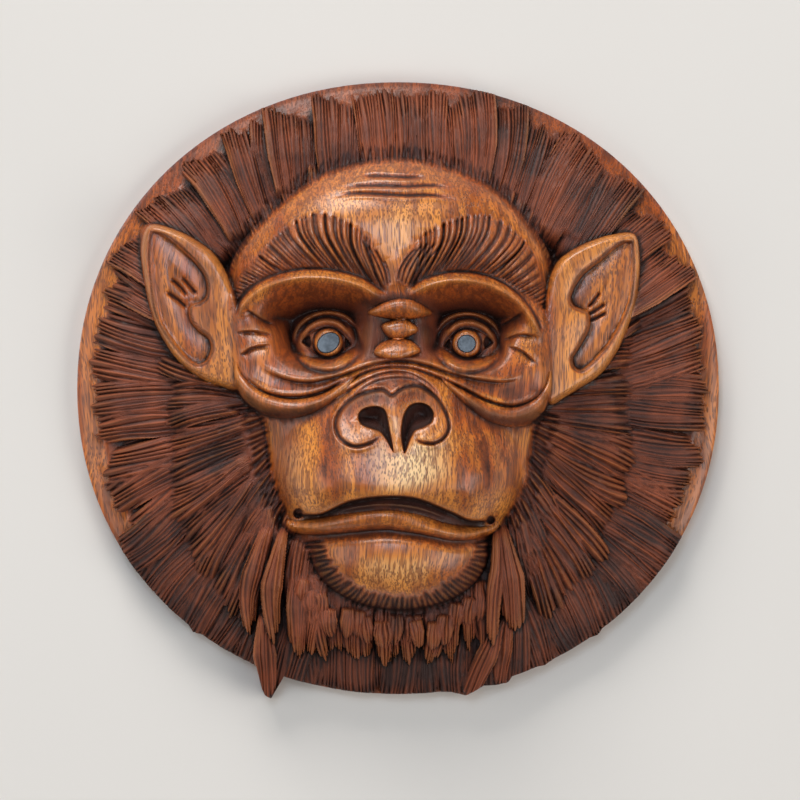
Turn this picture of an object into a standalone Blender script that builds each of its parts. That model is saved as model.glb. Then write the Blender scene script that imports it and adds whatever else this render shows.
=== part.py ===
"""Chimpanzee mask: one board of hardwood carved into a face in a ring of hair, with an inlaid pupil in each eye.

The mask lies on its flat back: +Z out of the face, +Y to the top of the head, origin at the middle of the back.
"""
import math
import random

import bmesh
import bpy
import numpy as np

# Driving sizes, in metres
WIDTH = 0.320
HEIGHT = 0.305
DEPTH = 0.078
EDGE_THICKNESS = 0.010
PUPIL_LEFT_LENGTH = 0.0115
PUPIL_LEFT_WIDTH = 0.0090
PUPIL_LEFT_LEAN = 35.0
PUPIL_RIGHT_LENGTH = 0.0088
PUPIL_RIGHT_WIDTH = 0.0084
PUPIL_THICKNESS = 0.0030
PUPIL_CLEARANCE = 0.0003
PUPIL_ROUNDING = 0.0003
IRIS_BAND_LEFT = 0.0013
IRIS_BAND_RIGHT = 0.0026
HOLE_DIAMETER = 0.010
HOLE_DEPTH = 0.012
HOLE_BELOW_TOP = 0.040

# The carving is drawn in this box, x and y from its middle and z from the back, and stretched to the sizes above
DRAWN_WIDTH, DRAWN_HEIGHT = 320.0, 305.0
DRAWN_EDGE, DRAWN_TOP = 10.0, 77.5

GRID_STEPS = 300
MASK_TRIANGLES = 9000
ROUND_SIDES = 32


def blend_step(low, high, value):
    """0 below low, 1 above high, smooth between."""
    share = np.clip((value - low) / (high - low), 0.0, 1.0)
    return share * share * (3.0 - 2.0 * share)


def smooth_max(a, b, blend):
    share = np.clip(0.5 + 0.5 * (a - b) / blend, 0.0, 1.0)
    return b + (a - b) * share + blend * share * (1.0 - share)


def smooth_min(a, b, blend):
    return -smooth_max(-a, -b, blend)


def curve_through(points, closed=False, steps=8):
    """A smooth (Catmull-Rom) line through a few chosen points."""
    points = np.asarray(points, float)
    if closed:
        guide = np.vstack([points[-1], points, points[:2]])
    else:
        guide = np.vstack([2 * points[0] - points[1], points, 2 * points[-1] - points[-2]])
    share = np.arange(steps)[:, None] / steps
    pieces = []
    for a, b, c, d in zip(guide, guide[1:], guide[2:], guide[3:], strict=False):
        bend = (2 * a - 5 * b + 4 * c - d) * share ** 2 + (3 * b - a - 3 * c + d) * share ** 3
        pieces.append(0.5 * (2 * b + (c - a) * share + bend))
    line = np.vstack(pieces)
    return line if closed else np.vstack([line, points[-1:]])


def spaced(line, gap):
    """Points a gap apart along a line."""
    lengths = np.concatenate([[0.0], np.cumsum(np.hypot(*np.diff(line, axis=0).T))])
    count = max(2, round(lengths[-1] / gap))
    at = (np.arange(count) + 0.5) * lengths[-1] / count
    return np.stack([np.interp(at, lengths, line[:, k]) for k in (0, 1)], axis=1)


def turned(way, degrees):
    c, s = math.cos(math.radians(degrees)), math.sin(math.radians(degrees))
    return np.array([way[0] * c - way[1] * s, way[0] * s + way[1] * c])


def circle(centre, radius, count=12):
    turns = np.linspace(0, 2 * math.pi, count, endpoint=False)
    return np.stack([centre[0] + radius * np.cos(turns), centre[1] + radius * np.sin(turns)], axis=1)


class Relief:
    """Points of the face with the height carved over each, in the drawing's units."""

    def __init__(self, x, y):
        self.x, self.y = x, y
        self.z = np.zeros_like(x)

    def near(self, line, reach):
        low, high = line.min(0) - reach, line.max(0) + reach
        across = (self.x > low[0]) & (self.x < high[0])
        return np.flatnonzero(across & (self.y > low[1]) & (self.y < high[1]))

    def beside(self, line, reach):
        """Points near a line: their index, distance, share of its length, and which side (+1 left)."""
        chosen = self.near(line, reach)
        px, py = self.x[chosen], self.y[chosen]
        lengths = np.hypot(*np.diff(line, axis=0).T)
        starts = np.concatenate([[0.0], np.cumsum(lengths)])
        best = np.full(chosen.shape, 1e9)
        along = np.zeros_like(best)
        side = np.ones_like(best)
        for (ax, ay), (bx, by), length, start in zip(line, line[1:], lengths, starts, strict=False):
            if length < 1e-6:
                continue
            ux, uy = (bx - ax) / length, (by - ay) / length
            t = np.clip((px - ax) * ux + (py - ay) * uy, 0.0, length)
            distance = np.hypot(px - ax - t * ux, py - ay - t * uy)
            closer = distance < best
            best = np.where(closer, distance, best)
            along = np.where(closer, (start + t) / starts[-1], along)
            side = np.where(closer, np.sign(ux * (py - ay) - uy * (px - ax)), side)
        return chosen, best, along, side

    def inside(self, outline, reach=1.0):
        """Points near a smooth closed outline with their signed distance, positive inside."""
        line = curve_through(outline, closed=True)
        loop = np.vstack([line, line[:1]])
        chosen, distance, _, _ = self.beside(loop, reach)
        px, py = self.x[chosen], self.y[chosen]
        within = np.zeros(chosen.shape, bool)
        for (ax, ay), (bx, by) in zip(loop, loop[1:], strict=False):
            if ay != by:
                crosses = (ay > py) != (by > py)
                within ^= crosses & (px < (bx - ax) * (py - ay) / (by - ay) + ax)
        return chosen, np.where(within, distance, -distance)

    def dome(self, centre, radii, base, top, power, blend):
        """Joins on a rounded mass standing from base to top, falling away steeply outside its radii."""
        r = np.hypot((self.x - centre[0]) / radii[0], (self.y - centre[1]) / radii[1])
        crown = np.sqrt(np.clip(1.0 - r ** power, 0.0, 1.0))
        mass = base + (top - base) * crown - 30.0 * np.clip(r - 1.0, 0.0, 3.0)
        self.z = smooth_max(self.z, mass, blend)

    def inflate(self, outline, base, top, soft, blend, power):
        """Joins on a mass that rises from base at an outline to top, rounding over a soft width."""
        chosen, distance = self.inside(outline, 12.0)
        share = np.clip(distance / soft, 0.0, 1.0)
        rise = (1.0 - (1.0 - share) ** power) ** (1.0 / power)
        mass = base + (top[chosen] - base) * rise + 5.0 * np.minimum(distance, 0.0)
        self.z[chosen] = smooth_max(self.z[chosen], mass, blend)

    def ease(self, outline, top, soft, power=0.7):
        """Brings the surface to a new height inside an outline, with no edge where it starts."""
        chosen, distance = self.inside(outline)
        self.z[chosen] += (top[chosen] - self.z[chosen]) * blend_step(0.0, soft, distance) ** power

    def hollow(self, outline, depth, soft):
        """Sinks the inside of an outline, sloping down over a soft width from its edge."""
        chosen, distance = self.inside(outline)
        self.z[chosen] -= depth * blend_step(0.0, soft, distance)

    def swell(self, outline, height, soft, power=0.6):
        """Raises the inside of an outline as a rounded pad."""
        chosen, distance = self.inside(outline)
        share = np.clip(distance / soft, 0.0, 1.0)
        self.z[chosen] += height * (1.0 - (1.0 - share) ** 2) ** power

    def groove(self, points, depth, width, ends=0.15):
        """A cut along a line, fading at its ends."""
        chosen, distance, along, _ = self.beside(curve_through(points), 3.0 * width)
        self.z[chosen] -= depth * np.exp(-(distance / width) ** 2) * fading(along, ends)

    def ridge(self, points, height, width, ends=0.15):
        self.groove(points, -height, width, ends)

    def fold(self, points, up, up_soft, down, down_soft, sharp=0.6, ends=0.1):
        """A crease: proud on the left of the line and sunk on its right, easing back over each soft width."""
        chosen, distance, along, side = self.beside(curve_through(points), 3.0 * max(up_soft, down_soft))
        signed = side * distance
        over = blend_step(-sharp, sharp, signed)
        lift = up * np.exp(-np.clip(signed, 0.0, None) / up_soft) * over
        sink = down * np.exp(-np.clip(-signed, 0.0, None) / down_soft) * (1.0 - over)
        self.z[chosen] += (lift - sink) * fading(along, ends)

    def tuft(self, path, widths, heights, crown, seed, blunt, drop):
        """A lock of hair along a path: widths and heights at its root, middle and tip."""
        chosen, distance, along, side = self.beside(curve_through(path, steps=6), max(widths) / 2)
        across = side * distance / (np.interp(along, (0.0, 0.5, 1.0), widths) / 2)
        point = random.Random(seed).uniform(-0.3, 0.3)
        end = 1.0 - blunt * np.abs(across - point) ** 1.5 - TIP_INSET
        within = (np.abs(across) < 1.0) & (along > 0.0) & (along < end)
        chosen, along, across, end = (part[within] for part in (chosen, along, across, end))
        tip = np.clip((along - end + 0.12) / 0.12, 0.0, 1.0)
        root = np.clip(1.0 - along / 0.14, 0.0, 1.0)
        top = np.interp(along, (0.0, 0.5, 1.0), heights)
        top -= crown * np.abs(across) ** 3 + drop * tip ** 2 + ROOT_SINK * root ** 2
        self.z[chosen] = np.maximum(self.z[chosen], top)


TIP_INSET = 0.04
ROOT_SINK = 7.0


def fading(along, ends):
    """0 at both ends of a line and 1 between them."""
    return blend_step(0.0, ends, along) * blend_step(0.0, ends, 1.0 - along) if ends else 1.0


def mirrored(points):
    return [(-px, py) for px, py in points]


# The disc: a squarish oval, with the tips of the locks that run past its lower edge as (degrees, how far)
RIM_POWER = 2.07
RIM_TIPS = ((-131.5, 0), (-130, 1.6), (-128.5, 0), (-117, 0), (-115.8, 4), (-114.5, 9), (-113.4, 12.3),
            (-112.2, 13), (-111.6, 0), (-82, 0), (-80, 0.8), (-77.6, 3.7), (-75.5, 2), (-74, 0.6), (-71.5, 2),
            (-69.5, 2.4), (-68.4, 0), (-63.5, 0), (-62, 1), (-60, 0), (-52.5, 0), (-51, 1.2), (-49.5, 0))
RIM_RISE, RIM_SOFT = 4.0, 7.0


def rim_radius(turn):
    """Distance from the middle to the rim at each angle."""
    c = np.abs(np.cos(turn)) / (DRAWN_WIDTH / 2)
    s = np.abs(np.sin(turn)) / (DRAWN_HEIGHT / 2)
    angles, lengths = np.transpose(RIM_TIPS)
    return (c ** RIM_POWER + s ** RIM_POWER) ** (-1 / RIM_POWER) + np.interp(np.degrees(turn), angles, lengths)


def rim_line(inset, start, end, count=16):
    """Points inside the rim from one angle to another, in degrees."""
    turns = np.radians(np.linspace(start, end, count))
    radius = rim_radius(np.arctan2(np.sin(turns), np.cos(turns))) - inset
    return np.stack([radius * np.cos(turns), radius * np.sin(turns)], axis=1)


def carve_disc(relief):
    edge = rim_radius(np.arctan2(relief.y, relief.x)) - np.hypot(relief.x, relief.y)
    relief.z = DRAWN_EDGE + RIM_RISE * blend_step(0.0, RIM_SOFT, edge)


# The hair: rows of locks running out from a short line across the middle of the face
CORE_REACH, CORE_HEIGHT = 35.0, -6.0
LEFT_FALL = [(-121, 24), (-119, -15), (-117, -55), (-108, -82), (-94, -103), (-78, -121)]
RIGHT_FALL = [(119, 45), (119, 10), (117, -48), (108, -68), (103, -88), (88, -102), (76, -119)]
LEFT_JAW = [(-88, -76), (-78, -96), (-64, -112), (-46, -122)]
BEARD_BACK = [(-54, -127), (-30, -132), (0, -133), (25, -130), (46, -126)]
BEARD_FRONT = [(-54, -131), (-30, -136), (-8, -138), (25, -134), (46, -130)]
CROWN_LOCKS = [(-74, 88), (-60, 99), (-45, 108), (-28, 115), (0, 118), (28, 115), (46, 107), (61, 96), (73, 85)]
INNER_FALL_SHARE = 0.97


def outward(point):
    """Which way the hair runs at a point."""
    near = np.array([min(max(point[0], -CORE_REACH), CORE_REACH), CORE_HEIGHT])
    way = np.asarray(point, float) - near
    return way / np.hypot(*way)


def tier(relief, tips, gap, width, length, heights, seed, swing=6.0, ragged=2.5, crown=2.2, blunt=0.05, drop=2.0):
    """A row of locks whose tips follow a line, laid in a mixed order as they overlap in the carving."""
    chance = random.Random(seed)
    spots = spaced(curve_through(tips, steps=12), gap)
    order = list(range(len(spots)))
    chance.shuffle(order)
    for k in order:
        way = turned(outward(spots[k]), chance.uniform(-swing, swing))
        across = turned(way, 90.0)
        tip = spots[k] + way * chance.uniform(-ragged, ragged) + across * chance.uniform(-0.2, 0.2) * gap
        reach = length * chance.uniform(0.94, 1.06)
        bow = across * chance.uniform(-0.03, 0.03) * length
        root = tip - way * reach
        lift = chance.uniform(-0.7, 0.7)
        wide = width * chance.uniform(0.8, 1.2)
        path = [root, root + way * reach * 0.35 + bow, root + way * reach * 0.7 + bow, tip]
        widths = (wide * 0.7, wide, wide * 0.85)
        relief.tuft(path, widths, [h + lift for h in heights], crown, seed * 100 + k, blunt, drop)


def carve_hair(relief):
    relief.dome((0, -8), (126, 128), 12.0, 34.0, 2.4, 4.0)
    tier(relief, rim_line(10, 20, 160), 12, 18, 50, (34, 26, 18.5), 11, blunt=0.08)
    tier(relief, rim_line(12, 160, 215, 8), 12, 17, 64, (25, 23, 18), 12)
    tier(relief, rim_line(12, -35, 20, 8), 12, 17, 64, (25, 23, 18), 13)
    tier(relief, rim_line(5, 215, 325), 11, 17, 46, (25, 22, 16), 14)
    tier(relief, rim_line(5, 22, 158, 24), 16.5, 20, 52, (35, 27, 19), 1, ragged=1.5, blunt=0.07)
    tier(relief, rim_line(6, 158, 212, 10), 14, 18, 64, (26, 24, 19), 2, ragged=1.5)
    tier(relief, rim_line(7, -32, 22, 10), 14, 18, 64, (26, 24, 19), 3, ragged=1.5)
    tier(relief, rim_line(0.5, 212, 328, 24), 12, 16, 46, (26, 23, 15), 4, ragged=1.0, drop=1.5)
    for line, seed in ((LEFT_FALL, 5), (RIGHT_FALL, 6)):
        inner = [(INNER_FALL_SHARE * px, INNER_FALL_SHARE * py) for px, py in line]
        tier(relief, inner, 9.5, 14, 52, (37, 33.5, 28.5), seed + 20, 4.0, 1.0)
        tier(relief, line, 11, 13, 56, (38, 34, 29), seed, 4.0, 1.0)
    for line, seed in ((LEFT_JAW, 39), (mirrored(LEFT_JAW), 41)):
        tier(relief, line, 8.5, 13, 50, (46, 42, 33), seed, 4.0, 1.5)
    tier(relief, BEARD_BACK, 8.5, 12, 40, (44, 39, 31), 27, 3.0, 3.0, blunt=0.08, drop=1.5)
    tier(relief, BEARD_FRONT, 10.5, 12, 36, (44, 40, 31.5), 7, 3.0, 3.0, blunt=0.08, drop=1.5)
    tier(relief, CROWN_LOCKS, 7.5, 10.5, 26, (37, 35.5, 32), 8, 7.0, 1.5)


# The long locks below the corners of the mouth: path, widths, heights and seed
MOUTH_LOCKS = (
    ([(-56, -68), (-60, -86), (-63, -104), (-61, -128)], (4, 11, 6), (46, 44, 34), 31),
    ([(-62, -62), (-69, -84), (-74, -104), (-73, -124)], (5, 12, 6), (42, 39, 29), 32),
    ([(-66, -108), (-66.5, -128), (-65.5, -142), (-65, -158)], (5, 12, 7), (35, 28, 16), 33),
    ([(51, -66), (54, -84), (56.5, -100), (58, -122)], (4, 14, 10), (48, 46, 34), 34),
    ([(49, -68), (49, -88), (47.5, -104), (46.5, -130)], (4, 8, 5), (50, 46, 36), 35),
    ([(50, -110), (46, -128), (40, -142), (34, -156)], (6, 11, 8), (36, 29, 15), 36),
    ([(54, -110), (52, -126), (50, -138), (49, -149)], (6, 11, 10), (36, 27, 15), 37),
)


def carve_mouth_locks(relief):
    for path, widths, heights, seed in MOUTH_LOCKS:
        relief.tuft(path, widths, heights, 2.0, seed, 0.1, 1.5)


# The ears: outline of each, the hollow of its shell and the short cuts inside
LEFT_EAR = [(-123, 81), (-110, 78.5), (-97.5, 72), (-88.5, 63.5), (-78, 42), (-74, 20), (-74, 4), (-79, -2),
            (-88.5, 0.5), (-97.5, 4), (-106.5, 10.5), (-114.5, 20.5), (-122, 35.5), (-126.5, 55.5), (-127.5, 71)]
RIGHT_EAR = [(117, 76.5), (105, 76), (95, 73), (85, 68), (78, 61.5), (73, 50), (70, 20), (69, 0), (75, -9),
             (83, -5), (90.5, -0.5), (100.5, 6.5), (109, 18), (116, 35), (119.5, 50), (120, 66)]
LEFT_SHELL = [(-122.5, 77.5), (-114, 75), (-103.5, 66.5), (-96, 58), (-93.5, 51), (-94, 45), (-97.5, 41.5),
              (-102, 40), (-102, 34.5), (-98.5, 29.5), (-93, 25), (-91.5, 19), (-94.5, 12.5), (-100, 11),
              (-106.5, 15.5), (-116, 28), (-120.5, 38.5), (-122.5, 52.5), (-123.5, 67)]
RIGHT_SHELL = [(116.5, 72.5), (109, 71.5), (100.5, 64.5), (92, 58), (87.5, 52), (84.5, 45), (86.5, 40),
               (90.5, 38), (93.5, 36.5), (93.5, 29.5), (89, 21), (85.5, 15), (87, 9.5), (92, 8.5), (100.5, 16),
               (107.5, 25.5), (113, 36.5), (116, 46.5), (117, 61)]
EAR_CUTS = ([(-113, 54.5), (-108, 50), (-104, 45)], [(-107.5, 55.5), (-103, 50), (-99, 46)],
            [(-115.5, 48), (-109, 43.5), (-104, 39)], [(100.5, 48), (97, 43), (93.5, 39.5)],
            [(103, 42), (98, 38.5), (94, 36)], [(103.5, 37.5), (99, 35), (94.5, 33)])


def carve_ears(relief):
    for outline, shell in ((LEFT_EAR, LEFT_SHELL), (RIGHT_EAR, RIGHT_SHELL)):
        top = 45.0 - 0.2 * (np.abs(relief.x) - 75.0)
        relief.inflate(outline, 27.0, top, 6.5, 1.0, 2.2)
        relief.hollow(shell, 7.5, 3.5)
        relief.swell(shell, 3.5, 13.0)
    for points in EAR_CUTS:
        relief.groove(points, 1.8, 1.1, 0.2)


# The head: a domed plate, the mass round the eyes, the muzzle and the chin. The centre line is (y, height)
HEAD = [(0, 114.5), (-31, 109), (-46, 101.5), (-60, 90.5), (-72, 79), (-81, 66), (-85, 50), (-84, 25), (-80, 0),
        (-73, -12), (-68, -22), (-65, -42), (-60, -56), (-54, -68), (-47, -80), (-36, -95), (-18, -105), (2, -108),
        (22, -104), (38, -92), (46, -78), (52, -68), (60, -58), (67, -44), (70, -22), (74, -10), (79, 8), (79, 35),
        (77.5, 56), (73, 71), (61, 88), (47, 100), (31, 108)]
ORBIT = [(0, 52), (-12, 55), (-30, 59), (-48, 59), (-64, 54), (-77, 45), (-82.5, 33), (-82.5, 14), (-80, 1),
         (-74, -8), (-64, -14), (-52, -16), (-40, -12), (-26, -3), (0, 6), (24, -4), (38, -13), (50, -18.5),
         (60, -19), (70, -14), (75, -5), (77, 10), (76, 30), (70, 43), (58, 52), (42, 57), (24, 57), (10, 54)]
MUZZLE = [(0, 16), (-20, 10), (-36, -4), (-50, -16), (-59, -32), (-61, -48), (-56, -62), (-44, -72), (-20, -76),
          (0, -77), (20, -76), (44, -73), (56, -62), (62, -46), (60, -32), (52, -18), (38, -6), (20, 8)]
CENTRE_LINE = ((114, 39), (105, 47), (95, 53), (80, 57.5), (65, 59), (52, 58), (40, 55), (25, 54), (12, 58), (2, 65),
               (-10, 71), (-25, 74), (-45, 76), (-57, 75), (-66, 71), (-74, 66), (-86, 65), (-97, 60), (-108, 48))


def carve_head(relief):
    side = np.abs(relief.x)
    line = curve_through(CENTRE_LINE)[::-1]
    middle = np.interp(relief.y, line[:, 0], line[:, 1])
    plate = smooth_min(middle, 58.0, 8.0) - 7.0 * (side / 70.0) ** 2.5
    relief.inflate(HEAD, 30.0, plate, 34.0, 3.0, 2.1)
    orbit = smooth_min(middle, 56.0, 6.0) - 4.0 * (side / 70.0) ** 2
    relief.inflate(ORBIT, 38.0, orbit, 11.0, 3.0, 2.2)
    relief.ease(MUZZLE, middle - 5.0 * (side / 40.0) ** 2, 30.0)
    relief.dome((1, -80), (43, 27), 38.0, 66.0, 2.3, 4.0)


# The brows and the sockets below them
LEFT_BROW = [(-84, 38), (-80, 55), (-66, 68), (-50, 78), (-36, 82), (-20, 77), (-10, 66), (-3.5, 54), (-8, 47),
             (-17, 54), (-30, 58.5), (-45, 59), (-62, 55), (-76, 46)]
RIGHT_BROW = [(-2, 54), (4, 63), (12, 74), (26, 81), (42, 82), (54, 76), (64, 66), (71, 54), (74, 40), (70, 38),
              (58, 50), (45, 56), (28, 57.5), (15, 54), (5, 47)]
LEFT_RIM = [(-80, 30), (-77, 41), (-66, 49.5), (-50, 54), (-34, 54), (-19, 50.5), (-9, 43)]
RIGHT_RIM = [(4, 44), (14, 50), (28, 53), (44, 51), (57, 44), (66, 34), (72, 22)]
LEFT_SOCKET = [(-66, 33), (-62, 43), (-50, 50), (-34, 51), (-18, 48), (-10.5, 38), (-12, 26), (-14, 16),
               (-22, 10.5), (-36, 7), (-50, 7.5), (-60, 13), (-65, 23)]
RIGHT_SOCKET = [(61, 36), (57, 44), (46, 50), (30, 51), (15, 48), (9, 38), (10, 26), (12, 16), (22, 10.5),
                (34, 7.5), (47, 7.5), (55, 13), (60, 25)]


def carve_brows(relief):
    for outline, line in ((LEFT_BROW, LEFT_RIM), (RIGHT_BROW, RIGHT_RIM)):
        relief.swell(outline, 4.0, 13.0, 1.0)
        relief.ridge(line, 6.0, 5.0)
    for outline in (LEFT_SOCKET, RIGHT_SOCKET):
        relief.hollow(outline, 20.0, 14.0)


# The eyes, drawn about each one's centre for the left and mirrored for the right
EYE_LEFT, EYE_RIGHT = (-34.4, 22.3), (33.9, 21.8)
EYES = ((EYE_LEFT, 1, PUPIL_LEFT_LENGTH / 2 + IRIS_BAND_LEFT),
        (EYE_RIGHT, -1, PUPIL_RIGHT_LENGTH / 2 + IRIS_BAND_RIGHT))
LID_MASS = (18.5, 15.5)
ALMOND = [(-13, 1), (-9, 5.2), (-4, 7.8), (1, 8.3), (6, 6), (10, 2), (11, -1), (8, -4), (3, -7), (-2, -7.5),
          (-7, -5.5)]
UPPER_LID = [(-13.5, 2), (-10.5, 7), (-5, 10.3), (0, 11), (5.5, 9.2), (10.5, 4)]
LID_FOLD = [(-13.5, 8), (-7.5, 13), (-1, 14.6), (6.5, 13), (12, 8), (14, 3)]
LOWER_LID = [(-13, -3.5), (-9, -8), (-2, -10.6), (4.5, -10), (10.5, -5)]
IRIS_LEVEL, IRIS_DOME = 47.0, 0.8


def placed(points, centre, flip):
    """Points drawn about an eye's centre, moved to it and mirrored by a flip of -1."""
    return [(centre[0] + flip * px, centre[1] + py) for px, py in points]


def carve_eyes(relief):
    for centre, flip, iris_size in EYES:
        relief.dome((centre[0], centre[1] + 0.8), LID_MASS, 34.0, 46.0, 2.2, 1.0)
        almond = placed(ALMOND, centre, flip)
        relief.hollow(almond, 2.6, 1.6)
        relief.swell(almond, 3.6, 8.0)
        relief.ridge(placed(UPPER_LID, centre, flip), 2.2, 1.6)
        relief.ridge(placed(LID_FOLD, centre, flip), 1.8, 1.5)
        relief.groove([(px, py + 2.2) for px, py in placed(UPPER_LID, centre, flip)], 1.4, 0.9)
        relief.ridge(placed(LOWER_LID, centre, flip), 2.2, 1.9)
        radius = iris_size * DRAWN_WIDTH / WIDTH
        from_middle = np.hypot(relief.x - centre[0], relief.y - centre[1]) / radius
        iris = IRIS_LEVEL - IRIS_DOME * blend_step(0.75, 1.0, from_middle)
        relief.z += (iris - relief.z) * blend_step(-1.1, -0.95, -from_middle)
        ring = circle(centre, radius)
        relief.groove(np.vstack([ring, ring[:1]]), 1.2, 0.8, 0.0)


# The three knobs of the bridge between the eyes: outline and height
BRIDGE = (([(-15, 37), (-7, 42), (1.5, 44), (9, 42.5), (17, 37), (9, 34.2), (1.5, 33.5), (-6, 34.2)], 5.0),
          ([(-8, 31), (-1, 34), (5, 33.5), (10, 28.5), (4, 24.5), (0, 23.5), (-5, 25)], 4.5),
          ([(-12, 18), (-8, 22.5), (0, 24.8), (7, 23), (11, 18), (4, 15), (-4, 14.5), (-10, 15.5)], 4.5))


def carve_bridge(relief):
    for outline, soft in BRIDGE:
        relief.swell(outline, 4.0, soft)


# The folds below the eyes: path, then how proud and how far above it, how deep and how far below
FOLD_LINES = (
    ([(-70, 13), (-64, 8), (-54, 4.2), (-43, 3), (-28, 6.5), (-13, 11.5), (0, 13.5), (13, 11.8), (29, 6.5),
      (44, 3.5), (55, 3.2), (64, 6)], 3.0, 6.0, 2.5, 3.0),
    ([(-79, 9), (-66, -1.5), (-52, -4.3), (-38, -1.8), (-25, 4), (-12, 9.2), (0, 10.5), (10, 9), (21, 5), (32, 0),
      (44, -5.8), (56, -8.7), (66, -5.5), (74, 2)], 1.0, 3.0, 3.2, 2.0),
    ([(-31, -6), (-22, 0.5), (-14, 5), (-5, 7.8), (3, 7.8), (10, 5.5), (17, 0.5), (23, -7)], 1.5, 3.0, 1.6, 2.5),
    ([(-24, -4.5), (-12, 3), (-2, 5.2), (6, 4.8), (12, 2), (19, -4)], 1.0, 2.0, 1.2, 2.5),
)
LEFT_BAG = [(-80, 9), (-67, -2), (-52, -5.5), (-38, -3), (-28, 2.5), (-27, -2), (-35, -9), (-46, -13.8),
            (-57, -15.2), (-68, -12), (-76, -5)]
RIGHT_BAG = [(75, 3), (67, -6), (56, -9.5), (43, -6.5), (31, -0.5), (28, -3), (36, -10.5), (45, -16.5),
             (56, -19.5), (66, -17), (73, -10)]
CROWS_FEET = ([(-76, 40), (-68, 34.5), (-60, 31)], [(-81, 27.5), (-71, 28), (-61, 26)],
              [(-79, 15.5), (-72, 20), (-62, 21.5)], [(50, 31), (56, 34), (62, 38.5)],
              [(51, 23.5), (60, 26.5), (70, 25.5)], [(53, 21), (61, 18.5), (69, 11.5)])


def carve_folds(relief):
    for outline in (LEFT_BAG, RIGHT_BAG):
        relief.swell(outline, 7.0, 6.5)
    for points, up, up_soft, down, down_soft in FOLD_LINES:
        relief.fold(points, up, up_soft, down, down_soft)
    for points in CROWS_FEET:
        relief.fold(points, 0.0, 1.0, 2.6, 3.0, 0.5, 0.25)


# The nose, its edge and the nostrils
NOSE = [(-29.5, -15), (-25, -8), (-16, -3), (-8, -1.5), (-3, -4), (2, -1), (9, 0.5), (16, -3), (21, -8.5),
        (24.5, -17.5), (22.5, -24), (12, -26), (0, -31), (-13, -26.5), (-21, -28), (-27.5, -24.5)]
NOSE_EDGE = [(-8, -23), (-13.5, -26.8), (-21, -28.6), (-27.5, -25.5), (-30.3, -20), (-29.5, -14), (-25, -7.7),
             (-17, -3), (-8, -1.2), (-3, -4), (2, -0.8), (9, 0.8), (16, -2.7), (21.3, -8.5), (24.8, -17.5),
             (23, -23.7), (18, -27), (12, -26.7), (7.5, -24.3)]
NOSTRILS = ([(-19, -14.5), (-15, -10.5), (-7, -10.3), (-4, -18), (-2.3, -31), (-6.5, -23.5), (-9, -21),
             (-15, -19.5)],
            [(10, -8), (15.5, -10.5), (17, -15), (14.5, -19), (8.5, -21), (6, -26), (3.5, -31.5), (1.5, -24),
             (2, -15), (5.5, -9.5)])


def carve_nose(relief):
    relief.swell(NOSE, 3.2, 7.0)
    relief.groove(NOSE_EDGE, 2.0, 1.1, 0.05)
    for outline in NOSTRILS:
        relief.hollow(outline, 12.0, 4.5)


# The mouth: the edge of the upper lip, the lower lip, the line under it and a drilled dot at each corner
UPPER_LIP = [(-53, -62), (-38.5, -62.3), (-24, -56), (-7.5, -53.5), (9, -54.5), (25.5, -61), (36, -65.5),
             (48, -65)]
LOWER_LIP = [(-52, -65.5), (-38, -64), (-22, -62), (-6, -60.5), (9, -62.5), (25, -67.5), (36, -68.5), (48, -67),
             (47.5, -71), (38, -74.5), (27, -75.2), (10, -71.8), (-6, -69.8), (-22, -71.2), (-38, -72.5), (-50, -70)]
UNDER_LIP = [(-54, -69), (-50, -71.5), (-39, -73.7), (-22, -72.3), (-6, -70.9), (10, -72.9), (27, -76.3),
             (39, -75.5), (47, -71.5), (50, -66)]
LIP_CORNERS = ((-50, -61.6, 3.0), (46, -65.3, 2.6))


def carve_mouth(relief):
    relief.fold(UPPER_LIP, 1.5, 5.0, 9.0, 6.0, 1.2, 0.08)
    relief.swell(LOWER_LIP, 6.5, 4.2)
    relief.groove(UNDER_LIP, 3.2, 2.2, 0.1)
    for px, py, radius in LIP_CORNERS:
        relief.hollow(circle((px, py), radius), 4.0, 1.6)


WRINKLES = ([(-20, 105), (-8, 104.8), (4, 104.2), (16, 104.5)],
            [(-30, 98.5), (-20, 99.7), (-8, 100), (4, 99.5), (17, 100), (29, 98.3)],
            [(-35, 94), (-22, 96), (-8, 95.6), (4, 95), (18, 95), (33, 92)])


def carve_wrinkles(relief):
    for points in WRINKLES:
        relief.groove(points, 1.3, 1.1, 0.25)


CARVING = (carve_disc, carve_hair, carve_ears, carve_head, carve_brows, carve_eyes, carve_bridge, carve_folds,
           carve_nose, carve_mouth, carve_wrinkles, carve_mouth_locks)


def real_place(x, y):
    """A drawn place on the face in metres."""
    return x * WIDTH / DRAWN_WIDTH, y * HEIGHT / DRAWN_HEIGHT


def real_level(z):
    """A drawn height over the back in metres: the edge keeps its own thickness."""
    return EDGE_THICKNESS + (z - DRAWN_EDGE) * (DEPTH - EDGE_THICKNESS) / (DRAWN_TOP - DRAWN_EDGE)


def carved_points(x, y):
    """Real places of points given on a square from -1 to 1, each lifted to the carving."""
    across, up = x * np.sqrt(1.0 - y * y / 2.0), y * np.sqrt(1.0 - x * x / 2.0)
    reach = rim_radius(np.arctan2(up, across))
    relief = Relief(across * reach, up * reach)
    for step in CARVING:
        step(relief)
    wide, high = real_place(relief.x, relief.y)
    return np.stack([wide, high, real_level(np.minimum(relief.z, DRAWN_TOP))], axis=1)


def collection_named(name):
    collection = bpy.data.collections.new(name)
    bpy.context.scene.collection.children.link(collection)
    return collection


def material_named(name, colour, roughness, metallic=0.0):
    material = bpy.data.materials.new(name)
    material.use_nodes = True
    shader = material.node_tree.nodes["Principled BSDF"]
    shader.inputs["Base Color"].default_value = (*colour, 1.0)
    shader.inputs["Roughness"].default_value = roughness
    shader.inputs["Metallic"].default_value = metallic
    return material


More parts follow.
